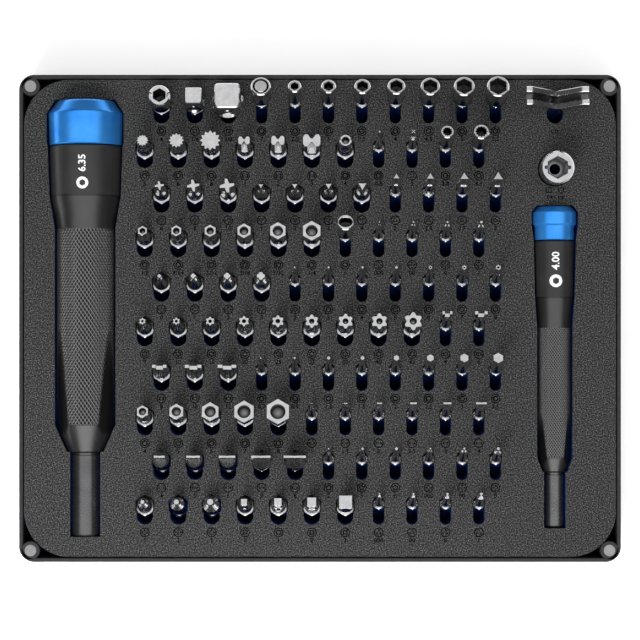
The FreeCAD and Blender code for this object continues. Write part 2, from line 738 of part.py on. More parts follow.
def make_shank(driver, bit):
    """The shank with its hexagonal socket, and a tang inside the handle."""
    socket_end = f"{driver}_socket_depth"
    body = turned(f"{driver}_shank_body", [
        ("0", "0"),
        (f"{driver}_shank_radius", "0"),
        (f"{driver}_shank_radius", f"{driver}_nose"),
        (f"{driver}_tang_radius", f"{driver}_nose"),
        (f"{driver}_tang_radius", f"{driver}_tang_end"),
        ("0", f"{driver}_tang_end"),
    ])
    along = FreeCAD.Rotation(FreeCAD.Vector(1, 0, 0), -90)
    socket = primitive("Prism", f"{driver}_socket", ("0", "-1", "0"), along, Polygon=6,
                       Circumradius=f"( {bit}_across + socket_play ) / 3 ^ 0.5", Height=f"{socket_end} + 1")
    seat = primitive("Cylinder", f"{driver}_magnet_seat", ("0", f"{socket_end} - 0.5", "0"), along,
                     Radius=f"{driver}_magnet_radius", Height=f"{driver}_magnet_long + 0.5")
    made = less(f"{driver}_shank_bored", body, [joined(f"{driver}_hollow", [socket, seat])])
    lie_down(made, driver)
    named(made, f"{driver}_shank")
    magnet = turned(f"{driver}_magnet_body", [
        ("0", socket_end),
        (f"{driver}_magnet_radius", socket_end),
        (f"{driver}_magnet_radius", f"{socket_end} + {driver}_magnet_long"),
        ("0", f"{socket_end} + {driver}_magnet_long"),
    ])
    lie_down(magnet, driver)
    named(magnet, f"{driver}_bit_magnet")


def make_axle_screw(driver):
    head = f"{driver}_bearing_start + {driver}_bearing_wide"
    shaft = f"{driver}_race_bore - screw_play"
    body = turned(f"{driver}_screw_body", [
        ("0", f"{head} - {driver}_screw_long + 1"),
        (shaft, f"{head} - {driver}_screw_long + 1"),
        (shaft, head),
        (f"{driver}_screw_head_radius", head),
        (f"{driver}_screw_head_radius", f"{head} + {driver}_screw_head_tall"),
        ("0", f"{head} + {driver}_screw_head_tall"),
    ])
    lie_down(body, driver)
    named(body, f"{driver}_axle_screw")


def make_bearing(driver):
    """Two races with a groove for the balls, and a ring of balls between them."""
    start, end = f"{driver}_bearing_start", f"{driver}_bearing_start + {driver}_bearing_wide"
    middle = f"{driver}_bearing_start + {driver}_bearing_wide / 2"
    pitch = f"( {driver}_inner_race_radius + {driver}_outer_race_bore ) / 2"
    across = FreeCAD.Rotation(FreeCAD.Vector(1, 0, 0), 90)
    for race, bore, radius in (("inner", "race_bore", "inner_race_radius"),
                               ("outer", "outer_race_bore", "outer_race_radius")):
        ring = turned(f"{driver}_{race}_race", [(f"{driver}_{bore}", start), (f"{driver}_{radius}", start),
                                               (f"{driver}_{radius}", end), (f"{driver}_{bore}", end)])
        groove = primitive("Torus", f"{driver}_{race}_groove", ("0", middle, "0"), across, Radius1=pitch,
                           Radius2=f"{driver}_ball_radius + groove_play")
        made = less(f"{driver}_{race}_grooved", ring, [groove])
        lie_down(made, driver)
        named(made, f"{driver}_bearing_{race}")
    balls = []
    for n in range(BEARING_BALLS):
        angle = 2 * pi * n / BEARING_BALLS
        balls.append(primitive("Sphere", f"{driver}_ball_{n}",
                               (f"{pitch} * {cos(angle):.6f}", middle, f"{pitch} * {sin(angle):.6f}"),
                               Radius=f"{driver}_ball_radius"))
    ring = together(f"{driver}_balls", balls)
    lie_down(ring, driver)
    named(ring, f"{driver}_bearing_balls")


def make_cap(driver):
    """The spinning cap: a seat for the outer race, and room for the screw's head."""
    seat = f"{driver}_bearing_start + {driver}_bearing_wide"
    body = turned(f"{driver}_cap_body", [
        (f"{driver}_outer_race_radius", f"{driver}_cap_start"),
        (f"{driver}_cap_skirt_radius", f"{driver}_cap_start"),
        (f"{driver}_cap_skirt_radius", f"{driver}_cap_rim_start"),
        (f"{driver}_cap_rim_radius", f"{driver}_cap_rim_start + {driver}_cap_rim_lead"),
        (f"{driver}_cap_rim_radius", f"{driver}_cap_shoulder"),
        (f"{driver}_cap_top_radius", f"{driver}_cap_top"),
        ("0", f"{driver}_cap_top"),
        ("0", f"{driver}_cap_relief_end"),
        (f"{driver}_cap_relief_radius", f"{driver}_cap_relief_end"),
        (f"{driver}_cap_relief_radius", seat),
        (f"{driver}_outer_race_radius", seat),
    ])
    lie_down(body, driver)
    named(body, f"{driver}_cap")


# ---- foam ----

def driver_form(driver):
    """The room that a driver needs: its turned form with a gap, and the same outline straight up to the top."""
    gap = " + recess_gap"
    half = [
        (f"{driver}_shank_radius{gap}", "- recess_gap"),
        (f"{driver}_shank_radius{gap}", f"{driver}_nose"),
        (f"{driver}_nose_radius{gap}", f"{driver}_nose"),
        (f"{driver}_grip_radius{gap}", f"{driver}_grip_start"),
        (f"{driver}_grip_radius{gap}", f"{driver}_grip_end"),
        (f"{driver}_collar_radius{gap}", f"{driver}_collar"),
        (f"{driver}_rear_radius{gap}", f"{driver}_rear"),
        (f"{driver}_cap_rim_radius{gap}", f"{driver}_cap_rim_start"),
        (f"{driver}_cap_rim_radius{gap}", f"{driver}_cap_shoulder"),
        (f"{driver}_cap_top_radius{gap}", f"{driver}_cap_top{gap}"),
    ]
    body = turned(f"{driver}_form", [("0", half[0][1]), *half, ("0", half[-1][1])])
    mirrored = [(f"- ( {x} )", y) for x, y in reversed(half)]
    plan = sketch_on(body, f"{driver}_plan")
    outline(plan, half + mirrored)
    pad(body, plan, "foam_top")
    lie_down(body, driver)
    return body


def slot_outlines(name, shank):
    """Every slot of one width, as upright blocks with round ends."""
    half_width = size(f"{shank}_slot_width / 2")
    straight = size("slot_length") - 2 * half_width
    places = [(slot_centre_x(f.row, f.column + n), slot_front_y(f.row))
              for f in FAMILIES if f.shank == shank for n in range(len(f.widths))]
    if shank == "large":
        places.append((size("side_column"), slot_front_y(1)))
    sketch = doc.addObject("Sketcher::SketchObject", name)
    for x, front in places:
        near, far = (FreeCAD.Vector(x, front + half_width + y, 0) for y in (0, straight))
        side = FreeCAD.Vector(half_width, 0, 0)
        up = FreeCAD.Vector(0, 0, 1)
        sketch.addGeometry([
            Part.ArcOfCircle(Part.Circle(near, up, half_width), pi, 2 * pi),
            Part.LineSegment(near + side, far + side),
            Part.ArcOfCircle(Part.Circle(far, up, half_width), 0, pi),
            Part.LineSegment(far - side, near - side),
        ])
    sketch.setExpression("Placement.Base.z", bound("slot_floor"))
    slots = doc.addObject("Part::Extrusion", f"{name}_slots")
    slots.Base = sketch
    slots.DirMode = "Normal"
    slots.Solid = True
    slots.setExpression("LengthFwd", bound("foam_top - slot_floor + 1"))
    return slots, places


def leaning_room(name, shank, places):
    """The room that each leaning shank needs beside its slot, from its foot to above the foam."""
    made = []
    for n, (x, front) in enumerate(places):
        room = prism(f"{name}_{n}", 6, f"( {shank}_across + 2 * bit_clearance ) / 3 ^ 0.5", "0", "lift_out")
        stand = leaning(shank, x, front)
        back = stand.Rotation.multVec(FreeCAD.Vector(0, 0, -size("bit_clearance")))
        room.Placement = FreeCAD.Placement(stand.Base + back, stand.Rotation.multiply(about_z(90)))
        made.append(room)
    return together(name, made)


def make_foam():
    """One block with every opening, split into a thin skin and the thick core under it."""
    body = doc.addObject("PartDesign::Body", "foam_block")
    plan = sketch_on(body, "foam_plan", "case_floor")
    edge = size("case_wall + foam_edge_gap")
    rounded_rectangle(plan, size("case_long / 2") - edge, size("case_deep / 2") - edge,
                      size("foam_corner_radius"))
    pad(body, plan, "foam_top - case_floor")
    foam = body
    for shank in ("large", "small"):
        slots, places = slot_outlines(f"{shank}_outlines", shank)
        foam = less(f"foam_with_{shank}_slots", foam, [slots])
        foam = less(f"foam_with_{shank}_room", foam, [leaning_room(f"{shank}_room", shank, places)])
    adapter_pocket = primitive("Cylinder", "adapter_pocket",
                               ("side_column", "adapter_row", "adapter_base - bit_clearance"),
                               Radius="adapter_radius + 1.5 * bit_clearance", Height="foam_top")
    foam = less("foam_open", foam, [driver_form("large_driver"), driver_form("small_driver"),
                                    adapter_pocket])
    long, deep = "case_long", "case_deep"
    core = less("foam_lower", foam, [block("skin_zone", long, deep, "foam_top - foam_skin_thick", "30")])
    skin = less("foam_upper", foam, [block("core_zone", long, deep, "0", "foam_top - foam_skin_thick")])
    named(core, "foam_core")
    named(skin, "foam_skin")


def write_parts():
    """Check every object and every sub-part, then write one file for each sub-part."""
    doc.recompute()
    failed = [o.Name for o in doc.Objects if {"Invalid", "Error"} & set(o.State)]
    if failed:
        raise ValueError(f"these objects failed: {failed}")
    for node in nodes:
        if node.Shape.isNull() or not node.Shape.isValid():
            raise ValueError(f"{node.Label} has no valid shape")
    os.makedirs("parts", exist_ok=True)
    for node in nodes:
        node.Shape.exportStep(f"parts/{node.Label}.step")
        print(f"{node.Label}: {len(node.Shape.Solids)} solids, {node.Shape.Volume:.1f} cubic millimetres")


fill_sheet()
make_tray()
make_corner_magnets()
make_foam()
make_bits()
make_wing_nut_driver()
make_upright_adapter()
for driver_name, bit_kind in (("large_driver", "large"), ("small_driver", "small")):
    make_handle(driver_name)
    make_shank(driver_name, bit_kind)
    make_axle_screw(driver_name)
    make_bearing(driver_name)
    make_cap(driver_name)
write_parts()
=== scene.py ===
"""Looks of a precision screwdriver set: its case, foam insert, leaning bits and two knurled drivers.

Sizes are millimetres until a mesh is made. Every mesh is in the set's own frame, in metres: X along the case,
Y towards its back, Z up, with the origin in the middle of the case's base.
"""
from __future__ import annotations

import logging
import math
from dataclasses import dataclass, field, replace
from enum import Enum
from typing import Callable, Iterable, Sequence

import bmesh
import bpy
import numpy as np
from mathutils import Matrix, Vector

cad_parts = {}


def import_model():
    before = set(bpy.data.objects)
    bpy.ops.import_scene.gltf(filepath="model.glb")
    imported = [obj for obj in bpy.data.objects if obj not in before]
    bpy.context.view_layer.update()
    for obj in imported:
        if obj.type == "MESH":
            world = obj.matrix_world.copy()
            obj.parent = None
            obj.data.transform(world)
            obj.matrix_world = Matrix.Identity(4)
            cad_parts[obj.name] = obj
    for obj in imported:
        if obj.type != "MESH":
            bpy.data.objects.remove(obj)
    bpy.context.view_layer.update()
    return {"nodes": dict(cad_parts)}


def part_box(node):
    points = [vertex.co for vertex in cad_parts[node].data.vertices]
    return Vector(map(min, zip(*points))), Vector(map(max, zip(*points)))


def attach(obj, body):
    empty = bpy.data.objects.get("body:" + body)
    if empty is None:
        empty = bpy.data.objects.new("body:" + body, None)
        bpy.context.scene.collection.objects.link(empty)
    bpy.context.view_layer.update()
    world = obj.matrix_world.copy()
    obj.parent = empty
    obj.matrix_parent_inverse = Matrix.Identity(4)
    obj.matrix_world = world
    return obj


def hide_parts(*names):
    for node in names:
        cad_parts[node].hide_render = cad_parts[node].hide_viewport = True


LOG = logging.getLogger("screwdriver_set")
MM = 0.001
TURN = 2 * math.pi
SHARP_EDGE = math.radians(28)

Array = np.ndarray
Section = tuple
Sections = Sequence[Section]


# ---------------------------------------------------------------- meshes

@dataclass
class Shell:
    """Vertices and faces of closed grids, gathered into one mesh."""

    points: list[Array] = field(default_factory=list)
    shades: list[Array] = field(default_factory=list)
    faces: list[list[int]] = field(default_factory=list)
    count: int = 0

    def add_grid(self, grid: Array, shade: Array | float = 0.0, poles: bool = True,
                 ring: bool = False) -> None:
        """Adds a grid that is closed across its columns.

        Args:
            grid: points of shape (rows, columns, 3), in millimetres.
            shade: what the finish reads at each point, from 0 to 1.
            poles: the first and last rows are each one point.
            ring: the last row joins the first, as on a torus.
        """
        rows, columns = grid.shape[:2]
        index = np.arange(rows * columns).reshape(rows, columns)
        if poles:
            index[0, :] = index[0, 0]
            index[-1, :] = index[-1, 0]
        if ring:
            index = np.vstack([index, index[:1]])
        beside = np.roll(index, -1, axis=1)
        quads = np.stack([index[:-1], beside[:-1], beside[1:], index[1:]], axis=-1)
        used, compact = np.unique(quads, return_inverse=True)
        quads = compact.reshape(quads.shape) + self.count
        middle = quads[1:-1] if poles else quads
        faces = middle.reshape(-1, 4).tolist()
        if poles:
            faces += quads[0][:, [0, 2, 3]].tolist() + quads[-1][:, [0, 1, 2]].tolist()
        self.points.append(grid.reshape(-1, 3)[used])
        self.shades.append(np.broadcast_to(shade, (rows, columns)).reshape(-1)[used])
        self.faces += faces
        self.count += len(used)

    def piece(self, name: str, body: str, slot: str, *nodes: str) -> bpy.types.Object:
        """Makes the mesh object, with its faces turned outwards.

        Args:
            name: the piece's name.
            body: the body it rides on.
            slot: not used.
            nodes: the CAD nodes it stands for.

        Returns:
            The new object, at the origin.
        """
        mesh = bpy.data.meshes.new(name)
        mesh.from_pydata((np.concatenate(self.points) * MM).tolist(), [], self.faces)
        turned = bmesh.new()
        turned.from_mesh(mesh)
        bmesh.ops.recalc_face_normals(turned, faces=turned.faces)
        turned.to_mesh(mesh)
        turned.free()
        shade = mesh.attributes.new("shade", "FLOAT", "POINT")
        shade.data.foreach_set("value", np.concatenate(self.shades).astype(np.float32))
        mesh.shade_smooth()
        mesh.set_sharp_from_angle(angle=SHARP_EDGE)
        made = bpy.data.objects.new(name, mesh)
        bpy.context.scene.collection.objects.link(made)
        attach(made, body)
        if nodes:
            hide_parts(*nodes)
        LOG.info("%s rides on %s: %d faces", name, body, len(self.faces))
        return made


def around(count: int, *outlines: Array) -> Array:
    """Angles of an even ring and of every corner of some outlines, so that no corner is cut off.

    Args:
        count: how many angles the even ring has.
        outlines: corners, each of shape (n, 2).

    Returns:
        The angles, in order, in radians.
    """
    even = np.arange(count) * TURN / count
    corners = [np.arctan2(o[:, 1], o[:, 0]) % TURN for o in outlines]
    return np.unique(np.round(np.concatenate([even, *corners]), 5))


def reach(corners: Array, phi: Array) -> Array:
    """How far a star-shaped outline reaches in each direction.

    A ray meets the edge from corner P to corner Q at the distance cross(P, Q) / cross(ray, Q - P).

    Args:
        corners: the outline's corners, of shape (n, 2), around the axis.
        phi: the directions, in radians.

    Returns:
        One distance for each direction.
    """
    angles = np.arctan2(corners[:, 1], corners[:, 0]) % TURN
    order = np.argsort(angles)
    angles, corners = angles[order], corners[order]
    after = np.searchsorted(angles, phi - 1e-7) % len(corners)
    p, q = corners[after - 1], corners[after]
    edge = q - p
    cross = p[:, 0] * q[:, 1] - p[:, 1] * q[:, 0]
    return np.abs(cross / (np.cos(phi) * edge[:, 1] - np.sin(phi) * edge[:, 0]))


def stack(phi: Array, sections: Sections, centre: tuple[float, float] = (0.0, 0.0)) -> Array:
    """A solid of sections piled along Z: a point is the section's reach along its direction, at its height.

    Args:
        phi: the directions.
        sections: a height, a reach (one number for a circle) and, if it isn't 0, a shade.
        centre: where the axis stands.

    Returns:
        A grid of shape (sections, directions, 3).
    """
    heights = np.array([s[0] for s in sections], float)
    reaches = np.stack([np.broadcast_to(s[1], phi.shape) for s in sections])
    flat = np.stack([reaches * np.cos(phi) + centre[0], reaches * np.sin(phi) + centre[1]], axis=-1)
    return np.concatenate([flat, np.broadcast_to(heights[:, None, None], (*reaches.shape, 1))], axis=-1)


def shades(sections: Sections) -> Array:
    """Each section's shade, as a column beside the grid that stack makes of the same sections."""
    return np.array([[s[2] if len(s) > 2 else 0.0] for s in sections])


def lying(grid: Array, place: Sequence[float]) -> Array:
    """A grid piled along Z, laid down so that its Z runs along Y, and moved to its place."""
    return np.stack([grid[..., 0], grid[..., 2], grid[..., 1]], axis=-1) + np.asarray(place, float)


def text_piece(name: str, body: str, lines: Iterable[tuple[str, Array, float, float]],
               rise: float, wrap: Callable[[Array], Array]) -> bpy.types.Object:
    """Numerals as one thin solid mesh.

    Args:
        name: the piece's name.
        body: the body it rides on.
        lines: words, the place of their middle, their height and their turn about Z, in millimetres.
        rise: half the solid's thickness.
        wrap: moves the finished points on to the surface that carries them.

    Returns:
        The new object, at the origin.
    """
    points, faces, count = [], [], 0
    for words, place, tall, turn in lines:
        curve = bpy.data.curves.new(name, "FONT")
        curve.body = words
        curve.size = tall * 1.38
        curve.align_x = "CENTER"
        curve.align_y = "CENTER"
        curve.resolution_u = 2
        curve.extrude = rise
        curve.offset = tall * 0.03
        holder = bpy.data.objects.new(name, curve)
        mesh = bpy.data.meshes.new_from_object(holder)
        flat = np.empty(len(mesh.vertices) * 3)
        mesh.vertices.foreach_get("co", flat)
        flat = flat.reshape(-1, 3)
        c, s = math.cos(turn), math.sin(turn)
        points.append(flat @ np.array([[c, s, 0], [-s, c, 0], [0, 0, 1]]) + place)
        loops = np.empty(len(mesh.loops), np.int32)
        mesh.loops.foreach_get("vertex_index", loops)
        starts = np.empty(len(mesh.polygons), np.int32)
        mesh.polygons.foreach_get("loop_start", starts)
        faces += [face.tolist() for face in np.split(loops + count, starts[1:])]
        count += len(flat)
        bpy.data.objects.remove(holder)
        bpy.data.curves.remove(curve)
        bpy.data.meshes.remove(mesh)
    mesh = bpy.data.meshes.new(name)
    mesh.from_pydata((wrap(np.concatenate(points)) * MM).tolist(), [], faces)
    welded = bmesh.new()
    welded.from_mesh(mesh)
    bmesh.ops.remove_doubles(welded, verts=welded.verts, dist=1e-7)
    bmesh.ops.recalc_face_normals(welded, faces=welded.faces)
    welded.to_mesh(mesh)
    welded.free()
    made = bpy.data.objects.new(name, mesh)
    bpy.context.scene.collection.objects.link(made)
    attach(made, body)
    LOG.info("%s rides on %s: %d faces", name, body, len(mesh.polygons))
    return made


# ---------------------------------------------------------------- finishes

class Graph:
    """A material's node tree with a principled shader, and short calls to add nodes to it."""

    def __init__(self, name: str) -> None:
        """Starts a new material.

        Args:
            name: the material's name.
        """
        self.material = bpy.data.materials.new(name)
        self.material.use_nodes = True
        self.tree = self.material.node_tree
        self.shader = self.tree.nodes["Principled BSDF"]

    def node(self, kind: str, links: dict | None = None, **settings: object) -> bpy.types.Node:
        """Adds a node.

        Args:
            kind: the node's type without its prefix.
            links: for each input, an output socket or a plain value.
            settings: the node's own properties.

        Returns:
            The new node.
        """
        made = self.tree.nodes.new(f"ShaderNode{kind}")
        for key, value in settings.items():
            setattr(made, key, value)
        for key, value in (links or {}).items():
            if isinstance(value, bpy.types.NodeSocket):
                self.tree.links.new(value, made.inputs[key])
            else:
                made.inputs[key].default_value = value
        return made

    def place(self, stretch: tuple[float, float, float] = (1.0, 1.0, 1.0)) -> bpy.types.NodeSocket:
        """Object coordinates, stretched along each axis."""
        coordinates = self.node("TexCoord").outputs["Object"]
        return self.node("Mapping", {"Vector": coordinates, "Scale": stretch}).outputs["Vector"]

    def noise(self, place: bpy.types.NodeSocket, scale: float, detail: float = 3.0,
              rough: float = 0.6) -> bpy.types.NodeSocket:
        """Noise from 0 to 1."""
        return self.node("TexNoise", {"Vector": place, "Scale": scale, "Detail": detail,
                                      "Roughness": rough}).outputs["Fac"]

    def ramp(self, factor: bpy.types.NodeSocket, stops: Sequence[tuple[float, Sequence[float]]]
             ) -> bpy.types.NodeSocket:
        """A colour ramp.

        Args:
            factor: what the ramp reads, from 0 to 1.
            stops: positions in rising order, each with its linear colour.

        Returns:
            The ramp's colour.
        """
        made = self.node("ValToRGB", {"Fac": factor})
        elements = made.color_ramp.elements
        while len(elements) < len(stops):
            elements.new(0.5)
        for element, (position, colour) in zip(elements, stops):
            element.position = position
            element.color = (*colour, 1.0)
        return made.outputs["Color"]

    def shade(self) -> bpy.types.NodeSocket:
        """The piece's own shade attribute, which is 0 where a mesh has none."""
        return self.node("Attribute", attribute_name="shade").outputs["Fac"]

    def mix(self, factor: bpy.types.NodeSocket, first: bpy.types.NodeSocket | Sequence[float],
            second: bpy.types.NodeSocket | Sequence[float]) -> bpy.types.NodeSocket:
        """A blend of two colours.

        Args:
            factor: 0 for the first and 1 for the second.
            first: a socket or a linear colour.
            second: a socket or a linear colour.

        Returns:
            The blend's colour.
        """
        made = self.node("Mix", data_type="RGBA")
        for socket, value in zip([made.inputs[0], made.inputs[6], made.inputs[7]], [factor, first, second]):
            if isinstance(value, bpy.types.NodeSocket):
                self.tree.links.new(value, socket)
            else:
                socket.default_value = (*value, 1.0)
        return made.outputs[2]

    def span(self, factor: bpy.types.NodeSocket, low: float, high: float,
             full_at: float = 1.0) -> bpy.types.NodeSocket:
        """Maps 0 to full_at on to low to high."""
        return self.node("MapRange", {"Value": factor, "From Max": full_at, "To Min": low,
                                      "To Max": high}).outputs["Result"]

    def bump(self, height: bpy.types.NodeSocket, depth: float, strength: float = 1.0,
             under: bpy.types.NodeSocket | None = None) -> bpy.types.NodeSocket:
        """A bumped normal.

        Args:
            height: the height, from 0 to 1.
            depth: what a height of 1 stands for, in metres.
            strength: how much of the bump is used.
            under: another bump's normal, which this one adds to.

        Returns:
            The normal.
        """
        links = {"Height": height, "Distance": depth, "Strength": strength}
        if under:
            links["Normal"] = under
        return self.node("Bump", links).outputs["Normal"]

    def finish(self, **inputs: object) -> bpy.types.Material:
        """Sets the shader's inputs.

        Args:
            inputs: sockets or plain values, by the inputs' names with underscores for spaces.

        Returns:
            The material.
        """
        for key, value in inputs.items():
            socket = self.shader.inputs[key.replace("_", " ")]
            if isinstance(value, bpy.types.NodeSocket):
                self.tree.links.new(value, socket)
            else:
                socket.default_value = value
        return self.material


def grey(value: float) -> tuple[float, float, float]:
    """A neutral linear colour."""
    return (value, value, value * 1.01)


@dataclass(frozen=True)
class FoamFinish:
    """Closed-cell foam with a gritty skin: dark and light specks over a soft mottle."""

    name: str
    dark: tuple[float, float, float]
    mean: tuple[float, float, float]
    light: tuple[float, float, float]
    grit: float = 0.00009

    def material(self) -> bpy.types.Material:
        """Specks are coarse and fine noise mixed, and they also stand up as bumps.

        Returns:
            The new material.
        """
        graph = Graph(self.name)
        place = graph.place()
        specks = graph.noise(place, 2300.0, 2.0, 0.75)
        fine = graph.noise(place, 5200.0, 1.0, 0.5)
        grain = graph.node("Mix", {0: 0.25, 2: specks, 3: fine}, data_type="FLOAT").outputs[0]
        colour = graph.ramp(grain, [(0.36, self.dark), (0.5, self.mean), (0.67, self.light)])
        return graph.finish(Base_Color=colour, Roughness=graph.span(fine, 0.82, 0.98),
                            Normal=graph.bump(grain, self.grit, 0.55), Specular_IOR_Level=0.22)


@dataclass(frozen=True)
class SteelFinish:
    """Bright tool steel: nearly even reflections, broken by fine grinding marks and a faint mottle."""

    name: str
    dark: float
    light: float
    rough: tuple[float, float] = (0.16, 0.3)

    def material(self) -> bpy.types.Material:
        """Grinding marks are noise stretched along X. The mottle changes both colour and roughness.

        The shade attribute darkens the inside of sockets and holes: painted shade in these recesses.

        Returns:
            The new material.
        """
        graph = Graph(self.name)
        place = graph.place()
        mottle = graph.noise(place, 420.0, 4.0, 0.65)
        marks = graph.noise(graph.place((0.12, 1.0, 1.0)), 9000.0, 2.0, 0.6)
        bright = graph.ramp(mottle, [(0.3, grey(self.dark)), (0.7, grey(self.light))])
        # painted shade: blends towards near black where the shade attribute is set, in sockets, holes and the
        # wing driver's channel
        colour = graph.mix(graph.shade(), bright, grey(0.012))
        return graph.finish(Base_Color=colour, Metallic=1.0, Roughness=graph.span(mottle, *self.rough),
                            Normal=graph.bump(marks, 0.000006, 0.5))


@dataclass(frozen=True)
class AnodisedFinish:
    """Anodised aluminium: a dyed, satin metal with turning lines round the axis, which runs along Y."""

    name: str
    deep: tuple[float, float, float]
    worn: tuple[float, float, float]
    rough: tuple[float, float]
    metallic: float = 0.85
    lines: float = 0.000008
    # cut: the lighter colour that the shade attribute blends to, on the handle the painted highlight colour
    # of the knurl crests
    cut: tuple[float, float, float] = (0.2, 0.2, 0.202)
    attribute_metallic: float = 0.95

    def material(self) -> bpy.types.Material:
        """Turning lines are noise squeezed along Y, under a fine satin grain.

        The shade attribute blends towards a lighter, more metallic colour: on the handle this paints
        highlights along the knurl's crests, and lightens the plain taper and nose.

        Returns:
            The new material.
        """
        graph = Graph(self.name)
        turning = graph.noise(graph.place((0.02, 1.0, 0.02)), 5200.0, 3.0, 0.55)
        grain = graph.noise(graph.place(), 6500.0, 2.0, 0.6)
        cloud = graph.noise(graph.place(), 160.0, 3.0, 0.5)
        dyed = graph.ramp(cloud, [(0.3, self.deep), (0.75, self.worn)])
        # painted highlight: the shade attribute lightens the colour towards cut and raises the metallic
        colour = graph.mix(graph.shade(), dyed, self.cut)
        normal = graph.bump(turning, self.lines, 0.6, graph.bump(grain, 0.000012, 0.35))
        metallic = graph.span(graph.shade(), self.metallic, self.attribute_metallic, full_at=0.07)
        return graph.finish(Base_Color=colour, Metallic=metallic, Normal=normal,
                            Roughness=graph.span(grain, *self.rough), Specular_IOR_Level=0.5)


@dataclass(frozen=True)
class PaintFinish:
    """A thin painted or printed coat, with slight unevenness of shade and surface."""

    name: str
    low: tuple[float, float, float]
    high: tuple[float, float, float]
    rough: tuple[float, float]
    scale: float = 900.0
    texture: float = 0.00002
    gloss: float = 0.4
    glow: float = 0.0

    def material(self) -> bpy.types.Material:
        """Shade, roughness and bump all follow one noise.

        Returns:
            The new material.
        """
        graph = Graph(self.name)
        noise = graph.noise(graph.place(), self.scale, 4.0, 0.6)
        return graph.finish(Base_Color=graph.ramp(noise, [(0.3, self.low), (0.7, self.high)]),
                            Roughness=graph.span(noise, *self.rough), Specular_IOR_Level=self.gloss,
                            Normal=graph.bump(noise, self.texture, 0.4),
                            Emission_Color=(1.0, 1.0, 1.0, 1.0), Emission_Strength=self.glow)


class Finish(Enum):
    """Every finish on the set."""

    FOAM_SKIN = FoamFinish("charcoal_foam", (0.001,) * 3, (0.017,) * 3, (0.18,) * 3)
    FOAM_CORE = FoamFinish("blue_foam", (0.0, 0.012, 0.08), (0.002, 0.035, 0.2), (0.006, 0.07, 0.34),
                           grit=0.00006)
    BIT_STEEL = SteelFinish("bright_bit_steel", 0.56, 0.7, (0.12, 0.2))
    MAGNET = SteelFinish("nickel_plated_magnet", 0.34, 0.46, (0.35, 0.48))
    BEARING = SteelFinish("polished_bearing_steel", 0.5, 0.62, (0.08, 0.16))
    # the handle's cut colour is the painted highlight on its knurl crests
    HANDLE = AnodisedFinish("black_anodised", (0.02,) * 3, (0.027,) * 3, (0.3, 0.4), 0.1,
                            cut=(0.46, 0.46, 0.465))
    SHANK = AnodisedFinish("graphite_anodised", (0.14, 0.14, 0.143), (0.2, 0.2, 0.203), (0.22, 0.32), 0.95)
    CAP = AnodisedFinish("blue_anodised", (0.03, 0.3, 1.0), (0.07, 0.4, 1.0), (0.24, 0.34), 0.72)
    TRAY = PaintFinish("satin_black_tray", grey(0.014), grey(0.024), (0.38, 0.5))
    PRINT = PaintFinish("white_print", grey(0.72), grey(0.82), (0.45, 0.6))
    ENGRAVING = PaintFinish("pressed_foam", grey(0.001), grey(0.003), (0.9, 1.0), gloss=0.02)
    FLOOR = PaintFinish("pale_floor", grey(0.9), grey(0.93), (0.6, 0.7), 40.0, 0.0, glow=0.4)

    def made(self) -> bpy.types.Material:
        """The material, made the first time that it is asked for."""
        return bpy.data.materials.get(self.value.name) or self.value.material()

    def on(self, piece: bpy.types.Object) -> bpy.types.Object:
        """Puts this finish on a piece or on a carried-over CAD node.

        Args:
            piece: a mesh object.

        Returns:
            The same object.
        """
        piece.data.materials.clear()
        piece.data.materials.append(self.made())
        return piece


# ---------------------------------------------------------------- outlines

def regular(sides: int, radius: float, turn: float = 90.0) -> Array:
    """Corners of a regular polygon, one of them at turn degrees."""
    a = math.radians(turn) + np.arange(sides) * TURN / sides
    return np.stack([radius * np.cos(a), radius * np.sin(a)], axis=-1)


def rectangle(wide: float, deep: float) -> Array:
    """Corners of a rectangle about the axis."""
    return np.array([[1, 1], [-1, 1], [-1, -1], [1, -1]]) * (wide / 2, deep / 2)


def spun(arm: Array, count: int, turn: float = 0.0) -> Array:
    """One arm's corners repeated round the axis: each copy is the arm turned by its share of a turn.

    Args:
        arm: the corners of the arm that lies along X.
        count: how many arms there are.
        turn: how far the first is turned, in degrees.

    Returns:
        The whole outline's corners.
    """
    angles = math.radians(turn) + np.arange(count) * TURN / count
    c, s = np.cos(angles), np.sin(angles)
    spin = np.stack([np.stack([c, s], -1), np.stack([-s, c], -1)], axis=1)
    return np.concatenate([arm @ m for m in spin])


def cross(wide: float, thick: float, turn: float = 0.0) -> Array:
    """A cross: each arm's two end corners, and the inner corner before the next arm."""
    return spun(np.array([[wide / 2, -thick / 2], [wide / 2, thick / 2], [thick / 2, thick / 2]]), 4, turn)


def pinwheel(wide: float, thick: float) -> Array:
    """Four arms that lie beside the axis."""
    return spun(np.array([[wide / 2, 0.02], [wide / 2, thick], [thick, thick * 1.02]]), 4)


def wings(wide: float, thick: float) -> Array:
    """Three arms at 120 degrees, one of them towards +Y.

    Args:
        wide: twice an arm's length.
        thick: an arm's thickness.

    Returns:
        The outline's corners.
    """
    inner = thick / math.sqrt(3)
    arm = np.array([[wide / 2, -thick / 2], [wide / 2, thick / 2],
                    [inner * math.cos(math.pi / 3), inner * math.sin(math.pi / 3)]])
    return spun(arm, 3, 90)


def bowtie(wide: float) -> Array:
    """Two lobes, left and right, with a waist between them.

    Args:
        wide: the width across both lobes.

    Returns:
        The outline's corners.
    """
    right = np.array([[0.06, 0.12], [0.24, 0.36], [0.4, 0.36], [0.5, 0.2],
                      [0.5, -0.2], [0.4, -0.36], [0.24, -0.36], [0.06, -0.12]])
    return np.concatenate([right, right * (-1, 1)]) * wide


def points(count: int, wide: float, depth: float) -> Array:
    """A star with straight flanks: corners in turn outside and inside.

    Args:
        count: how many points it has.
        wide: its width across the points.
        depth: how deep the flanks go, as a share of the radius.

    Returns:
        The outline's corners.
    """
    a = math.pi / 2 + np.arange(2 * count) * math.pi / count
    r = np.where(np.arange(2 * count) % 2, wide / 2 * (1 - depth), wide / 2)
    return np.stack([r * np.cos(a), r * np.sin(a)], axis=-1)


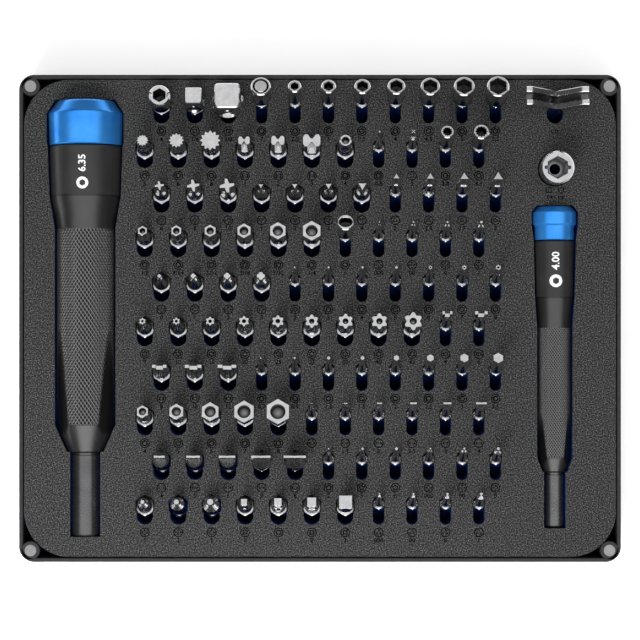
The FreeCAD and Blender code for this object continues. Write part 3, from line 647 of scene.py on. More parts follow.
def lobed(count: int, wide: float, depth: float) -> Array:
    """Round lobes, one of them towards +Y: between two lobes the radius dips along a cosine.

    Args:
        count: how many lobes there are.
        wide: the width across the lobes.
        depth: how deep the dips are, as a share of the radius.

    Returns:
        Points along the outline.
    """
    a = np.arange(count * 10) * TURN / (count * 10)
    r = wide / 2 * (1 - depth * (0.5 - 0.5 * np.cos(count * (a - math.pi / 2))))
    return np.stack([r * np.cos(a), r * np.sin(a)], axis=-1)


def oval(wide: float, deep: float) -> Array:
    """An ellipse."""
    a = np.arange(32) * TURN / 32
    return np.stack([wide / 2 * np.cos(a), deep / 2 * np.sin(a)], axis=-1)


# ---------------------------------------------------------------- bits

class Tip(Enum):
    """The shapes of drive that the bits have."""

    HEX = "hex"
    HOLLOW_HEX = "hollow hex"
    SIX_LOBE = "six lobe"
    HOLLOW_SIX_LOBE = "hollow six lobe"
    FIVE_LOBE = "five lobe"
    CROSS = "cross"
    RIBBED_CROSS = "ribbed cross"
    OFFSET_CROSS = "offset cross"
    FINE_X = "fine x"
    THREE_WING = "three wing"
    SPLINE = "spline"
    CLUTCH = "clutch"
    RING = "ring"
    PIN = "pin"
    TRIANGLE = "triangle"
    THREE_GROOVE = "three groove"
    SQUARE = "square"
    FLAT = "flat"
    FORK = "fork"
    NUT_SOCKET = "nut socket"
    TOOTHED_SOCKET = "toothed socket"
    POST_SOCKET = "post socket"
    OVAL_SOCKET = "oval socket"
    HOLDER = "holder"
    SQUARE_DRIVE = "square drive"

    def outline(self, wide: float) -> Array:
        """The outline that fits the fastener, about the axis.

        Args:
            wide: the tip's nominal width, across the flats where it has some.

        Returns:
            The outline's corners.
        """
        return {
            Tip.HEX: lambda: regular(6, wide / math.sqrt(3)),
            Tip.HOLLOW_HEX: lambda: regular(6, wide / math.sqrt(3)),
            Tip.SIX_LOBE: lambda: lobed(6, wide, 0.28),
            Tip.HOLLOW_SIX_LOBE: lambda: lobed(6, wide, 0.28),
            Tip.FIVE_LOBE: lambda: lobed(5, wide, 0.3),
            Tip.CROSS: lambda: cross(wide, wide * 0.26),
            Tip.RIBBED_CROSS: lambda: cross(wide, wide * 0.3),
            Tip.OFFSET_CROSS: lambda: pinwheel(wide, wide * 0.16),
            Tip.FINE_X: lambda: cross(wide, wide * 0.16, 45),
            Tip.THREE_WING: lambda: wings(wide, wide * 0.26),
            Tip.SPLINE: lambda: points(12, wide, 0.24),
            Tip.CLUTCH: lambda: bowtie(wide),
            Tip.RING: lambda: regular(32, wide / 2),
            Tip.PIN: lambda: regular(16, wide / 2),
            Tip.TRIANGLE: lambda: regular(3, wide / math.sqrt(3)),
            Tip.THREE_GROOVE: lambda: regular(3, wide / math.sqrt(3), -90),
            Tip.SQUARE: lambda: rectangle(wide, wide),
            Tip.FLAT: lambda: rectangle(wide, min(0.8, wide * 0.3)),
            Tip.FORK: lambda: rectangle(wide, 1.3),
            Tip.NUT_SOCKET: lambda: regular(6, wide / math.sqrt(3)),
            Tip.TOOTHED_SOCKET: lambda: points(12, wide, 0.2),
            Tip.POST_SOCKET: lambda: regular(32, wide / 2),
            Tip.OVAL_SOCKET: lambda: oval(wide * 0.8, wide * 0.6),
            Tip.HOLDER: lambda: regular(6, wide / math.sqrt(3)),
            Tip.SQUARE_DRIVE: lambda: rectangle(wide, wide),
        }[self]()


@dataclass(frozen=True)
class Shank:
    """A hexagonal shank: its size across flats, the lengths along it, and how far it leans back.

    The shoulder is the angle at which the hexagon's upper end is turned down, from square to the axis, and
    shoulder_inner is the radius where it stops. neck_rise is the height of the cone from there to the neck.
    """

    across: float
    length: float
    hex_length: float
    neck: float
    tip_length: float
    tilt: float
    shoulder: float
    shoulder_inner: float
    neck_rise: float

    @property
    def corner(self) -> float:
        """The radius through the hexagon's corners."""
        return self.across / math.sqrt(3)

    def body(self, phi: Array) -> Array:
        """The hexagon, with its corners slightly rounded off."""
        return np.minimum(reach(regular(6, self.corner), phi), self.corner * 0.985)

    def lower(self, phi: Array, hex_length: float | None = None) -> list[tuple[float, Array | float]]:
        """Sections from the foot to the top of the hexagon.

        Both ends are turned to a cone: the reach is the smaller of the hexagon's and a circle's that shrinks.

        Args:
            phi: the directions.
            hex_length: the hexagon's length, where it isn't the shank's usual one.

        Returns:
            The sections, starting at the foot's middle.
        """
        top = hex_length or self.hex_length
        body, flat = self.body(phi), self.across / 2
        steps = np.linspace(1.0, 0.0, 4)
        foot = [(0.5 * t, np.minimum(body, flat * 0.92 + (self.corner - flat * 0.92) * t))
                for t in steps[::-1]]
        drop = (self.corner - self.shoulder_inner) * math.tan(math.radians(self.shoulder))
        inner, outer = self.shoulder_inner, self.corner
        cone = [(top - drop * t, np.minimum(body, inner + (outer - inner) * t)) for t in steps]
        return [(0.0, 0.0), *foot, *cone]


LARGE = Shank(across=6.35, length=25.0, hex_length=14.0, neck=2.35, tip_length=6.5, tilt=12.0,
              shoulder=24.0, shoulder_inner=2.65, neck_rise=1.2)
SMALL = Shank(across=4.0, length=28.0, hex_length=15.6, neck=1.3, tip_length=4.5, tilt=20.0,
              shoulder=36.0, shoulder_inner=1.4, neck_rise=0.4)


@dataclass(frozen=True)
class Family:
    """Bits of one kind, in neighbouring slots of one row."""

    node: str
    shank: Shank
    tip: Tip
    row: int
    column: int
    widths: tuple[float, ...]
    labels: tuple[str, ...] = ()


FAMILIES = (
    Family("bit_holder_adapter", LARGE, Tip.HOLDER, 1, 1, (7.5,), ("4",)),
    Family("square_drive_small", LARGE, Tip.SQUARE_DRIVE, 1, 2, (6.35,), ("1/4",)),
    Family("square_drive_large", LARGE, Tip.SQUARE_DRIVE, 1, 3, (9.5,), ("3/8",)),
    Family("post_socket_bit", SMALL, Tip.POST_SOCKET, 1, 4, (7.0,), ("7",)),
    Family("nut_socket_bits", SMALL, Tip.NUT_SOCKET, 1, 5, (2.5, 3.0, 3.5, 4.0, 4.5, 5.0, 5.5)),
    Family("spline_bits", LARGE, Tip.SPLINE, 2, 1, (4.4, 5.6, 7.6), ("5", "6", "8")),
    Family("clutch_bits", LARGE, Tip.CLUTCH, 2, 4, (4.2, 4.8, 6.3), ("1", "2", "3")),
    Family("ring_tip_bit", LARGE, Tip.RING, 2, 7, (4.2,), ("4",)),
    Family("eject_pin_bit", SMALL, Tip.PIN, 2, 8, (0.8,), ("0.8",)),
    Family("fine_x_bit", SMALL, Tip.FINE_X, 2, 9, (2.0,), ("2",)),
    Family("toothed_socket_bits", SMALL, Tip.TOOTHED_SOCKET, 2, 10, (3.3, 4.1), ("3.8", "4.5")),
    Family("offset_cross_bits", LARGE, Tip.OFFSET_CROSS, 3, 1, (3.4, 4.5, 5.3), ("6", "8", "10")),
    Family("three_groove_bits", LARGE, Tip.THREE_GROOVE, 3, 4, (1.8, 2.0, 2.3, 3.0), ("1", "2", "3", "4")),
    Family("triangle_bits", SMALL, Tip.TRIANGLE, 3, 8, (2.3, 2.7, 3.1, 3.4), ("2", "2.3", "2.7", "3")),
    Family("inch_hex_bits", LARGE, Tip.HOLLOW_HEX, 4, 1, (3.18, 3.57, 3.97, 4.76, 5.56, 6.35),
           ("1/8", "9/64", "5/32", "3/16", "7/32", "1/4")),
    Family("oval_socket_bit", SMALL, Tip.OVAL_SOCKET, 4, 7, (5.9,), ("6",)),
    Family("fine_pointed_cross_bits", SMALL, Tip.CROSS, 4, 8, (1.2, 1.6, 2.0, 2.4), ("000", "00", "0", "1")),
    Family("ribbed_cross_bits", LARGE, Tip.RIBBED_CROSS, 5, 1, (2.0, 2.8, 3.6, 4.4), ("0", "1", "2", "3")),
    Family("small_six_lobe_bits", SMALL, Tip.SIX_LOBE, 5, 5, (0.95, 1.1, 1.2, 1.35), ("2", "3", "4", "5")),
    Family("small_hollow_six_lobe_bits", SMALL, Tip.HOLLOW_SIX_LOBE, 5, 9, (1.65, 1.95, 2.25),
           ("6", "7", "8")),
    Family("large_six_lobe_bits", LARGE, Tip.HOLLOW_SIX_LOBE, 6, 1,
           (2.58, 2.82, 3.37, 3.95, 4.5, 5.07, 5.6, 5.96, 6.77),
           ("9", "10", "15", "20", "25", "27", "30", "40", "45")),
    Family("small_fork_bits", SMALL, Tip.FORK, 6, 10, (3.6, 4.5), ("4", "6")),
    Family("large_fork_bits", LARGE, Tip.FORK, 7, 1, (5.2, 6.0, 6.6), ("8", "10", "12")),
    Family("small_hex_bits", SMALL, Tip.HEX, 7, 4, (0.7, 0.9, 1.3, 1.5, 2.0, 2.5, 3.0, 3.5)),
    Family("metric_hex_bits", LARGE, Tip.HOLLOW_HEX, 8, 1, (4.0, 5.0, 6.0, 7.0, 8.0)),
    Family("small_flat_bits", SMALL, Tip.FLAT, 8, 6, (1.0, 1.5, 2.0, 2.5, 3.0, 4.0)),
    Family("large_flat_bits", LARGE, Tip.FLAT, 9, 1, (4.0, 5.0, 6.0, 7.0, 8.0)),
    Family("five_lobe_bits", SMALL, Tip.FIVE_LOBE, 9, 6, (0.8, 1.2, 1.5), ("2", "5", "6")),
    Family("small_cross_bits", SMALL, Tip.CROSS, 9, 9, (1.5, 2.0, 2.6), ("000", "00", "0")),
    Family("large_cross_bits", LARGE, Tip.CROSS, 10, 1, (3.6, 4.8, 5.8), ("1", "2", "3")),
    Family("square_tip_bits", LARGE, Tip.SQUARE, 10, 4, (2.3, 2.8, 3.3, 4.7), ("0", "1", "2", "3")),
    Family("three_wing_bits", SMALL, Tip.THREE_WING, 10, 8, (1.4, 1.8, 2.2, 2.6), ("000", "00", "0", "1")),
)


@dataclass(frozen=True)
class Rows:
    """Where the slots are: rows are numbered from the back and columns from the left."""

    odd_first: float = -56.3
    even_first: float = -62.2
    column_pitch: float = 11.86
    first_front: float = 69.2
    row_pitch: float = 15.83

    def across(self, row: int, column: int) -> float:
        """The X of a slot's middle."""
        return (self.odd_first if row % 2 else self.even_first) + (column - 1) * self.column_pitch

    def front(self, row: int) -> float:
        """The Y of a slot's front end."""
        return self.first_front - (row - 1) * self.row_pitch


@dataclass
class Bit:
    """One bit, built upright with its foot at the origin.

    The edge is the chamfer round a tip's end. A head is the round part that holds a socket. A buried
    shoulder is one that lies too deep in the slot to be seen.
    """

    shank: Shank
    tip: Tip
    width: float
    edge: float = 0.14
    ring: int = 36
    blade_ring: int = 96
    pin_hole_depth: float = 3.0
    head_long: float = 9.0
    socket_depth: float = 4.5
    holder_depth: float = 8.0
    holder_socket: float = 4.1
    prong_long: float = 2.6
    prong_thick: float = 1.3
    blade_end: float = 1.2
    broad_blade_long: float = 10.5
    buried_shoulder: float = 9.0
    grids: list[tuple[Array, Array]] = field(default_factory=list)
    phi: Array = field(init=False)
    shape: Array = field(init=False)

    def __post_init__(self) -> None:
        """Works out the directions, and the tip's reach in each."""
        outline = self.tip.outline(self.width)
        ring = self.blade_ring if self.tip is Tip.FLAT else self.ring
        self.phi = around(ring, outline, regular(6, self.shank.corner))
        self.shape = reach(outline, self.phi)

    def build(self) -> list[tuple[Array, Array]]:
        """Makes the shank and neck, and the tip that the bit's kind asks for.

        Returns:
            Closed grids, each with its shades.
        """
        makers = {
            Tip.NUT_SOCKET: self.socketed, Tip.TOOTHED_SOCKET: self.socketed, Tip.OVAL_SOCKET: self.socketed,
            Tip.HOLDER: self.holder, Tip.POST_SOCKET: self.post_socket, Tip.SQUARE_DRIVE: self.square_drive,
            Tip.CROSS: self.pointed, Tip.RIBBED_CROSS: self.ribbed, Tip.THREE_WING: self.pointed,
            Tip.FLAT: self.blade, Tip.FORK: self.fork, Tip.RING: self.ring_tip,
        }
        makers.get(self.tip, self.prismatic)()
        return self.grids

    def pile(self, upper: Sections, hex_length: float | None = None) -> None:
        """The shank's lower sections with the given ones above them."""
        self.add(self.phi, [*self.shank.lower(self.phi, hex_length), *upper])

    def add(self, phi: Array, sections: Sections, centre: tuple[float, float] = (0.0, 0.0)) -> None:
        """One more closed grid, with its shades."""
        self.grids.append((stack(phi, sections, centre), shades(sections)))

    def neck_to(self, radius: float) -> list[tuple[float, float]]:
        """A steep cone above the shoulder, and the neck, which narrows towards the tip.

        Args:
            radius: the tip's own radius.

        Returns:
            The sections at the neck's two ends.
        """
        shank = self.shank
        foot = shank.length - shank.tip_length
        neck = max(shank.neck, min(radius, shank.across / 2 * 0.9))
        end = min(neck, max(radius * 1.15, neck * 0.55))
        return [(shank.hex_length + shank.neck_rise, neck), (foot - 0.4, end)]

    def top(self, shape: Array, hole: float = 0.0) -> list[Section]:
        """A tip's end: straight sides, a chamfered rim, and a tapering hole where there is one.

        Args:
            shape: the tip's reach.
            hole: the radius of the hole for a security pin, or 0.

        Returns:
            The sections up to the end, and down again into the hole.
        """
        length = self.shank.length
        closed = [(length - self.edge * 1.4, shape), (length, shape - self.edge)]
        if hole <= 0:
            return [*closed, (length, 0.0)]
        floor = length - self.pin_hole_depth
        # painted shade: the third values darken the hole's walls and floor
        return [*closed, (length, hole * 1.12), (length - hole * 0.2, hole * 0.95, 0.7),
                (floor, hole * 0.9, 1.0), (floor - 0.4, 0.0, 0.6)]

    def prismatic(self) -> None:
        """A tip whose outline is the same all the way up, with or without a hole for a security pin."""
        shank = self.shank
        hole = {Tip.HOLLOW_HEX: 0.3, Tip.HOLLOW_SIX_LOBE: 0.17}.get(self.tip, 0.0) * self.width
        widest = float(self.shape.max())
        foot = shank.length - shank.tip_length
        rise = min(2.4, max(0.6, abs(shank.neck - widest) * 1.6))
        neck = self.neck_to(widest)
        self.pile([*neck, (foot, np.minimum(self.shape * 1.3, neck[-1][1])), (foot + rise, self.shape),
                   *self.top(self.shape, hole)])

    def pointed(self) -> None:
        """Arms of even thickness under a cone: the reach is the smaller of the arms' and the cone's."""
        length, widest = self.shank.length, self.width / 2
        foot = length - max(self.width * 1.15, 2.0)
        blunt = 0.62 if self.tip is Tip.RIBBED_CROSS else 0.36
        cone = [(foot + (length - foot) * t, np.minimum(self.shape, widest + (widest * blunt - widest) * t))
                for t in np.linspace(0.12, 1.0, 6)]
        deep = self.buried_shoulder if self.tip is Tip.CROSS and self.width > 4.0 else None
        self.pile([*self.neck_to(widest), (foot - 0.8, widest), (foot, widest), *cone,
                   (length, np.minimum(self.shape, widest * blunt) * 0.8), (length, 0.0)], deep)

    def ribbed(self) -> None:
        """A pointed cross with a small rib between each two arms."""
        rib = reach(cross(self.width * 0.46, self.width * 0.12, 45), self.phi)
        self.shape = np.maximum(self.shape, rib)
        self.pointed()

    def blade(self) -> None:
        """A flat blade ground from a bar: the round neck, or for a broad blade the hexagon itself.

        The reach is the least of three: the bar's, the two leaning faces' depth over a sine, and the two
        sides' distance over a cosine.
        """
        shank, length = self.shank, self.shank.length
        broad = self.width > shank.across
        run = self.broad_blade_long if broad else shank.tip_length
        neck = shank.neck if shank is SMALL else shank.across / 2 * 0.93
        bar = shank.body(self.phi) if broad else np.full(self.phi.shape, neck)
        wide, thick = self.width / 2, float(np.abs(self.shape * np.sin(self.phi)).max())
        cosine = np.maximum(np.abs(np.cos(self.phi)), 1e-4)
        sine = np.maximum(np.abs(np.sin(self.phi)), 1e-4)
        ground = []
        for t in np.linspace(0.0, 1.0, 12):
            spread = min(1.0, t / 0.45)
            side = bar.max() + (wide - bar.max()) * spread
            face = bar.max() + (thick - bar.max()) * t
            walls = np.minimum(side / cosine, face / sine)
            round_bar = bar + (max(wide * 1.02, neck) - bar) * spread
            ground.append((length - self.blade_end - (run - self.blade_end) * (1 - t),
                           np.minimum(walls, round_bar)))
        if broad:
            self.pile([*ground, *self.top(self.shape)], length - run - 0.3)
        else:
            deep = None if shank is SMALL else self.buried_shoulder
            self.pile([*self.neck_to(neck), *ground, *self.top(self.shape)], deep)

    def fork(self) -> None:
        """A blade that ends in two prongs, whose reach blends from the neck's circle to a rectangle."""
        shank, length = self.shank, self.shank.length
        crotch = length - self.prong_long
        foot = length - shank.tip_length
        neck = shank.neck if shank is SMALL else shank.across / 2 * 0.9
        blend = [(foot + (crotch - foot) * t, neck + (self.shape - neck) * t ** 0.8)
                 for t in np.linspace(0.0, 1.0, 5)]
        self.pile([*self.neck_to(neck), *blend, (crotch, 0.0)])
        wide = self.width * 0.27
        corners = rectangle(wide, self.prong_thick)
        phi = around(8, corners)
        side = reach(corners, phi)
        prong = [(crotch - 0.3, 0.0), (crotch - 0.3, side), (length - self.edge, side), (length, side * 0.84),
                 (length, 0.0)]
        for sign in (-1, 1):
            self.add(phi, prong, (sign * (self.width - wide) / 2, 0.0))

    def ring_tip(self) -> None:
        """A tube with two side slots in its rim."""
        hole, shank = self.width * 0.3, self.shank
        slotted = np.where(np.abs(np.sin(self.phi)) < 0.22, hole + 0.25, self.shape)
        self.pile([*self.neck_to(self.width / 2), (shank.length - shank.tip_length, self.shape),
                   (shank.length - 1.5, self.shape), (shank.length - 1.45, slotted),
                   *self.top(slotted, hole)])

    def head(self, radius: float | Array) -> list[Section]:
        """A round head that swells out of the neck.

        Args:
            radius: the head's own reach.

        Returns:
            The sections from the shoulder to the head's lower end.
        """
        shank = self.shank
        foot = shank.length - self.head_long
        rise = min(shank.neck_rise, foot - 1.2 - shank.hex_length)
        return [(shank.hex_length + rise, shank.neck), (foot - 1.0, shank.neck), (foot, radius * 0.96),
                (foot + 0.3, radius)]

    def socketed(self) -> None:
        """A round head with a socket in its end."""
        radius = {
            Tip.NUT_SOCKET: 1.05 + self.width * 0.52, Tip.TOOTHED_SOCKET: self.width / 2 + 0.8,
            Tip.OVAL_SOCKET: self.width / 2,
        }[self.tip]
        length, floor = self.shank.length, self.shank.length - self.socket_depth
        # painted shade: the third values darken the socket's walls and floor
        self.pile([*self.head(radius), (length - 0.35, radius), (length, radius - 0.3),
                   (length, self.shape + 0.16), (length - 0.2, self.shape, 0.45), (floor, self.shape, 0.96),
                   (floor - 0.5, 0.0, 1.0)])

    def holder(self) -> None:
        """A round head with a small hexagonal socket and a notch on each side."""
        radius, length = self.width / 2, self.shank.length
        socket = reach(regular(6, self.holder_socket / math.sqrt(3)), self.phi)
        notched = np.where(np.abs(np.sin(self.phi)) < 0.2, radius - 0.9, radius)
        floor = length - self.holder_depth
        # painted shade: the third values darken the small socket's walls and floor
        self.pile([*self.head(radius), (length - 1.6, radius), (length - 1.55, notched),
                   (length - 0.4, notched), (length, notched - 0.35), (length, socket + 0.2),
                   (length - 0.3, socket, 0.4), (floor, socket, 0.96), (floor - 0.4, 0.0, 1.0)])

    def post_socket(self) -> None:
        """A round head with a ring cut round a middle post."""
        length, floor = self.shank.length, self.shank.length - self.socket_depth
        outer, post = self.width * 0.39, self.width * 0.33
        # painted shade: the third values darken the ring groove round the post
        self.pile([*self.head(self.shape), (length - 0.35, self.shape), (length, self.shape - 0.3),
                   (length, outer + 0.05), (length - 0.2, outer, 1.0), (floor, outer, 1.0),
                   (floor, post, 1.0), (length - 0.4, post, 1.0), (length - 0.25, post),
                   (length, post - 0.2), (length, 0.0)])

    def square_drive(self) -> None:
        """A square drive with rounded edges over a round collar, and a ball standing out of its front."""
        length, wide = self.shank.length, self.width
        neck, collar = self.shank.across / 2, wide * 0.6
        square = np.minimum(self.shape, wide * 0.64)
        self.pile([(self.shank.hex_length + 0.3, neck * 0.9), (length - 9.5, neck * 0.92),
                   (length - 9.0, collar), (length - 8.2, collar), (length - 7.6, square * 0.98),
                   (length - 7.2, square), (length - 1.1, square), (length - 0.4, square * 0.95),
                   (length, square * 0.86), (length, 0.0)])
        radius = wide * 0.14
        rise = np.linspace(-math.pi / 2, math.pi / 2, 9)
        ball = [(length - 3.5 + radius * math.sin(t), radius * max(math.cos(t), 0.0)) for t in rise]
        self.add(around(16), ball, (0.0, -wide * 0.44))


@dataclass
class BitRack:
    """All the leaning bits, one piece for each family."""

    families: tuple[Family, ...]
    rows: Rows

    def lean(self, grid: Array, shank: Shank, foot: Array) -> Array:
        """Turns a grid back about X by the shank's tilt, and stands it on its foot."""
        c, s = math.cos(math.radians(shank.tilt)), math.sin(math.radians(shank.tilt))
        return grid @ np.array([[1, 0, 0], [0, c, -s], [0, s, c]]) + foot

    def foot(self, node: str, shank: Shank, x: float) -> Array:
        """Where a bit stands: its front corner is the lowest and foremost point of its CAD node.

        Args:
            node: the CAD node.
            shank: the bit's shank.
            x: the middle of its slot.

        Returns:
            The middle of the bit's foot.
        """
        low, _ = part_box(node)
        c, s = math.cos(math.radians(shank.tilt)), math.sin(math.radians(shank.tilt))
        return np.array([x, low[1] / MM + shank.corner * c, low[2] / MM + shank.corner * s])

    def build(self) -> None:
        """Makes each family's bits."""
        for family in self.families:
            shell = Shell()
            for n, width in enumerate(family.widths):
                foot = self.foot(family.node, family.shank, self.rows.across(family.row, family.column + n))
                for grid, shade in Bit(family.shank, family.tip, width).build():
                    shell.add_grid(self.lean(grid, family.shank, foot), shade)
            piece = shell.piece(f"{family.node}_ground", f"{family.node}_set", "bit_steel", family.node)
            Finish.BIT_STEEL.on(piece)
        self.wing_nut_driver()

    def wing_nut_driver(self) -> None:
        """A shank that carries two lips with a channel between them.

        A lip is a slab whose upper edge dips in the middle as a V and whose lower edge dips with it.
        """
        (low_x, _, _), (high_x, _, _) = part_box("wing_nut_driver")
        wide = (high_x - low_x) / MM
        x = (low_x + high_x) / 2 / MM
        shell = Shell()
        foot = self.foot("wing_nut_driver", LARGE, x)
        phi = around(36, regular(6, LARGE.corner))
        length = LARGE.length
        neck = [(LARGE.hex_length + 0.6, 2.7), (length - 9.4, 2.6), (length - 8.6, 2.9), (length - 8.0, 0.0)]
        steep = replace(LARGE, shoulder=70.0)
        shell.add_grid(self.lean(stack(phi, [*steep.lower(phi), *neck]), LARGE, foot))
        along = np.linspace(-wide / 2, wide / 2, 25)
        run = np.clip(np.abs(along) / (wide / 2 - 2.0), 0, 1)
        top = length - 5.5 * (1 - run)
        bottom = length - 9.0 + 5.2 * run
        for near, far in ((-3.35, -1.35), (1.35, 3.35), (-1.5, 1.5)):
            high = top if near != -1.5 else bottom + 1.6
            soft = 0.25
            loop = [(near, bottom), (near, high - soft), (near + soft, high), (far - soft, high),
                    (far, high - soft), (far, bottom)]
            ring = np.stack([np.stack([along, np.full_like(along, y), z], axis=-1) for y, z in loop], axis=1)
            ends = [np.broadcast_to(ring[k].mean(axis=0), (1, len(loop), 3)) for k in (0, -1)]
            solid = np.concatenate([ends[0], ring, ends[1]])
            # painted shade: the low web between the lips gets a shade of 0.8
            shell.add_grid(self.lean(solid, LARGE, foot), 0.8 if near == -1.5 else 0.0)
        Finish.BIT_STEEL.on(shell.piece("wing_nut_driver_forged", "wing_nut_driver_set", "bit_steel",
                                        "wing_nut_driver"))


@dataclass(frozen=True)
class UprightAdapter:
    """The round adapter that stands in its own pocket."""

    across: float = 6.45
    hole: float = 1.95
    socket_depth: float = 10.0
    square_depth: float = 7.5
    bevel: float = 0.5

    def build(self) -> None:
        """A turned barrel, a hexagonal socket with two side notches, a hole, and a square socket below."""
        low, high = (np.array(corner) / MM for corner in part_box("square_to_hex_adapter"))
        middle, radius, length = (low + high) / 2, (high[0] - low[0]) / 2, high[2] - low[2]
        outline = regular(6, self.across / math.sqrt(3))
        square = rectangle(self.across, self.across)
        phi = around(60, outline, square)
        socket, hollow = reach(outline, phi), reach(square, phi)
        notched = np.where(np.abs(np.sin(phi)) < 0.17, np.maximum(socket, 4.3), socket)
        shell = Shell()
        # painted shade: the third values darken the sockets, notches and hole inside the barrel
        sections = [
            (0.0, hollow + 0.2), (0.0, radius - self.bevel), (self.bevel, radius),
            (length - self.bevel, radius), (length, radius - self.bevel), (length, notched + 0.35),
            (length - 0.35, notched, 0.5), (length - 2.2, notched, 0.9), (length - 2.25, socket, 0.8),
            (length - self.socket_depth, socket, 0.9), (length - self.socket_depth, self.hole, 0.6),
            (self.square_depth, self.hole, 1.0), (self.square_depth, hollow, 1.0), (0.3, hollow, 0.5),
        ]
        grid = stack(phi, sections) + (middle[0], middle[1], low[2])
        shell.add_grid(grid, shades(sections), poles=False, ring=True)
        Finish.BIT_STEEL.on(shell.piece("square_to_hex_adapter_turned", "square_to_hex_adapter_set",
                                        "bit_steel", "square_to_hex_adapter"))


# ---------------------------------------------------------------- drivers

@dataclass
class Driver:
    """A handle with a knurled grip, a shank with a hexagonal socket, and a spinning cap.

    Lengths run from the end of the shank towards the cap.
    """

    name: str
    bit_across: float
    socket_depth: float
    tang_radius: float
    tang_end: float
    nose: float
    nose_radius: float
    grip_start: float
    grip_radius: float
    grip_end: float
    collar: float
    collar_radius: float
    rear_radius: float
    facet_start: float
    starts: int
    knurl_pitch: float
    knurl_depth: float
    cap_profile: tuple[tuple[float, float], ...]
    label: str
    label_middle: float
    label_tall: float
    disc_middle: float
    disc_radius: float
    samples: int = 6
    # shades on the handle: small even ones on the facets and the plain parts; the knurl crests get a painted
    # highlight, narrowed by the line power
    facet_shade: float = 0.08
    plain_part_shade: float = 0.2
    line_power: int = 12
    handle_gap: float = 0.35
    socket_play: float = 0.1
    print_rise: float = 0.14
    shank_radius: float = field(init=False)
    axis: Array = field(init=False)
    boss_end: float = field(init=False)
    cap_start: float = field(init=False)
    cap_end: float = field(init=False)
    rear: float = field(init=False)

    def __post_init__(self) -> None:
        """Reads the driver's place from the frame."""
        shank_low, shank_high = (np.array(c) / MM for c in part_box(f"{self.name}_shank"))
        _, handle_high = (np.array(c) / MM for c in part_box(f"{self.name}_handle"))
        cap_low, cap_high = (np.array(c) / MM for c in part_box(f"{self.name}_cap"))
        self.shank_radius = float(shank_high[0] - shank_low[0]) / 2
        self.axis = np.array([(shank_low[0] + shank_high[0]) / 2, shank_low[1],
                              (shank_low[2] + shank_high[2]) / 2])
        self.boss_end = float(handle_high[1] - shank_low[1])
        self.cap_start = float(cap_low[1] - shank_low[1])
        self.cap_end = float(cap_high[1] - shank_low[1])
        self.rear = self.cap_start - self.handle_gap

    def grip_profile(self, along: Array) -> Array:
        """The handle's plain radius: straight lines between its stations, and half a cosine up to the collar.

        Args:
            along: distances from the end of the shank.

        Returns:
            One radius for each distance.
        """
        stations = [self.nose, self.grip_start, self.grip_end, self.collar, self.rear]
        radii = [self.nose_radius, self.grip_radius, self.grip_radius, self.collar_radius, self.rear_radius]
        plain = np.interp(along, stations, radii)
        swell = np.clip((along - self.grip_end) / (self.collar - self.grip_end), 0, 1)
        eased = self.grip_radius + (self.collar_radius - self.grip_radius) * (1 - np.cos(math.pi * swell)) / 2
        return np.where((swell > 0) & (swell < 1), eased, plain)

    def knurled(self, along: Array, phi: Array) -> tuple[Array, Array]:
        """The handle's reach and shade, with its knurl and its three facets.

        Two sets of helical ridges cross: each is a triangle wave of the turn plus or minus the distance, and
        the surface takes the higher of the two, so that diamond pits lie between them. A facet is a plane
        that starts on the grip's surface and sinks until it is as wide as a sixth of a turn at the nose, so
        its reach is its depth over a cosine.

        Args:
            along: distances from the end of the shank.
            phi: directions round the axis.

        Returns:
            The reaches and the shades, each of shape (distances, directions).
        """
        plain = self.grip_profile(along)[:, None]
        turns = self.starts * phi[None, :] / TURN
        run = (along[:, None] - self.grip_start) / self.knurl_pitch
        ridges = [np.abs((turns + sign * run + 0.5) % 1 - 0.5) * 2 for sign in (-1, 1)]
        fade = np.clip(np.minimum(along - self.grip_start, self.grip_end - along) / 0.6, 0, 1)[:, None]
        crest = np.maximum(*ridges)
        cut = self.knurl_depth * (1 - crest) * fade
        sink = np.clip((self.facet_start - along) / (self.facet_start - self.grip_start), 0, 1.6)[:, None]
        depth = self.grip_radius * (1 - (1 - math.cos(math.pi / 6)) * sink)
        facets = [np.where(np.cos(phi - a) > 0.3, depth / np.maximum(np.cos(phi - a), 0.3), 99.0)
                  for a in (math.radians(150), math.radians(30), math.radians(-90))]
        facet = np.where(sink > 0, np.minimum.reduce(facets), 99.0)
        facet = np.maximum(facet, self.shank_radius + 0.2)
        # Painted highlight: inside the knurl the shade is near 1 only along the crest lines, painting the
        # light they catch; the plain taper and nose get a small even shade, and the facets a smaller one.
        crest_highlight_and_plain_tint = self.plain_part_shade + (crest ** self.line_power - self.plain_part_shade) * fade
        crest_highlight_before_collar = np.where((along < self.collar)[:, None], crest_highlight_and_plain_tint, 0.0)
        shade = np.where(facet < plain - cut, self.facet_shade, np.clip(crest_highlight_before_collar, 0, 1))
        return np.minimum(plain - cut, facet), shade

    def handle(self) -> None:
        """The handle from its bored nose to the boss under the cap."""
        samples = self.samples * self.starts
        phi = np.arange(samples) * TURN / samples
        step = self.knurl_pitch / self.samples
        along = np.concatenate([
            np.linspace(self.nose + 0.3, self.grip_start, 9)[:-1],
            np.arange(self.grip_start, self.grip_end, step),
            np.linspace(self.grip_end, self.collar, 12),
            np.linspace(self.collar, self.rear - 0.4, 5)[1:],
        ])
        reaches, shade = self.knurled(along, phi)
        front = [(self.tang_end, 0.0), (self.tang_end, self.tang_radius), (self.nose, self.tang_radius),
                 (self.nose, self.nose_radius - 0.4)]
        back = [(self.rear, self.rear_radius - 0.35), (self.rear, self.rear_radius * 0.4),
                (self.boss_end, self.rear_radius * 0.38), (self.boss_end, 0.0)]
        grid = stack(phi, [*front, *zip(along, reaches), *back])
        shade = np.pad(shade, ((len(front), len(back)), (0, 0)))
        shell = Shell()
        shell.add_grid(lying(grid, self.axis), shade)
        Finish.HANDLE.on(shell.piece(f"{self.name}_knurled_handle", self.name, "handle",
                                     f"{self.name}_handle"))

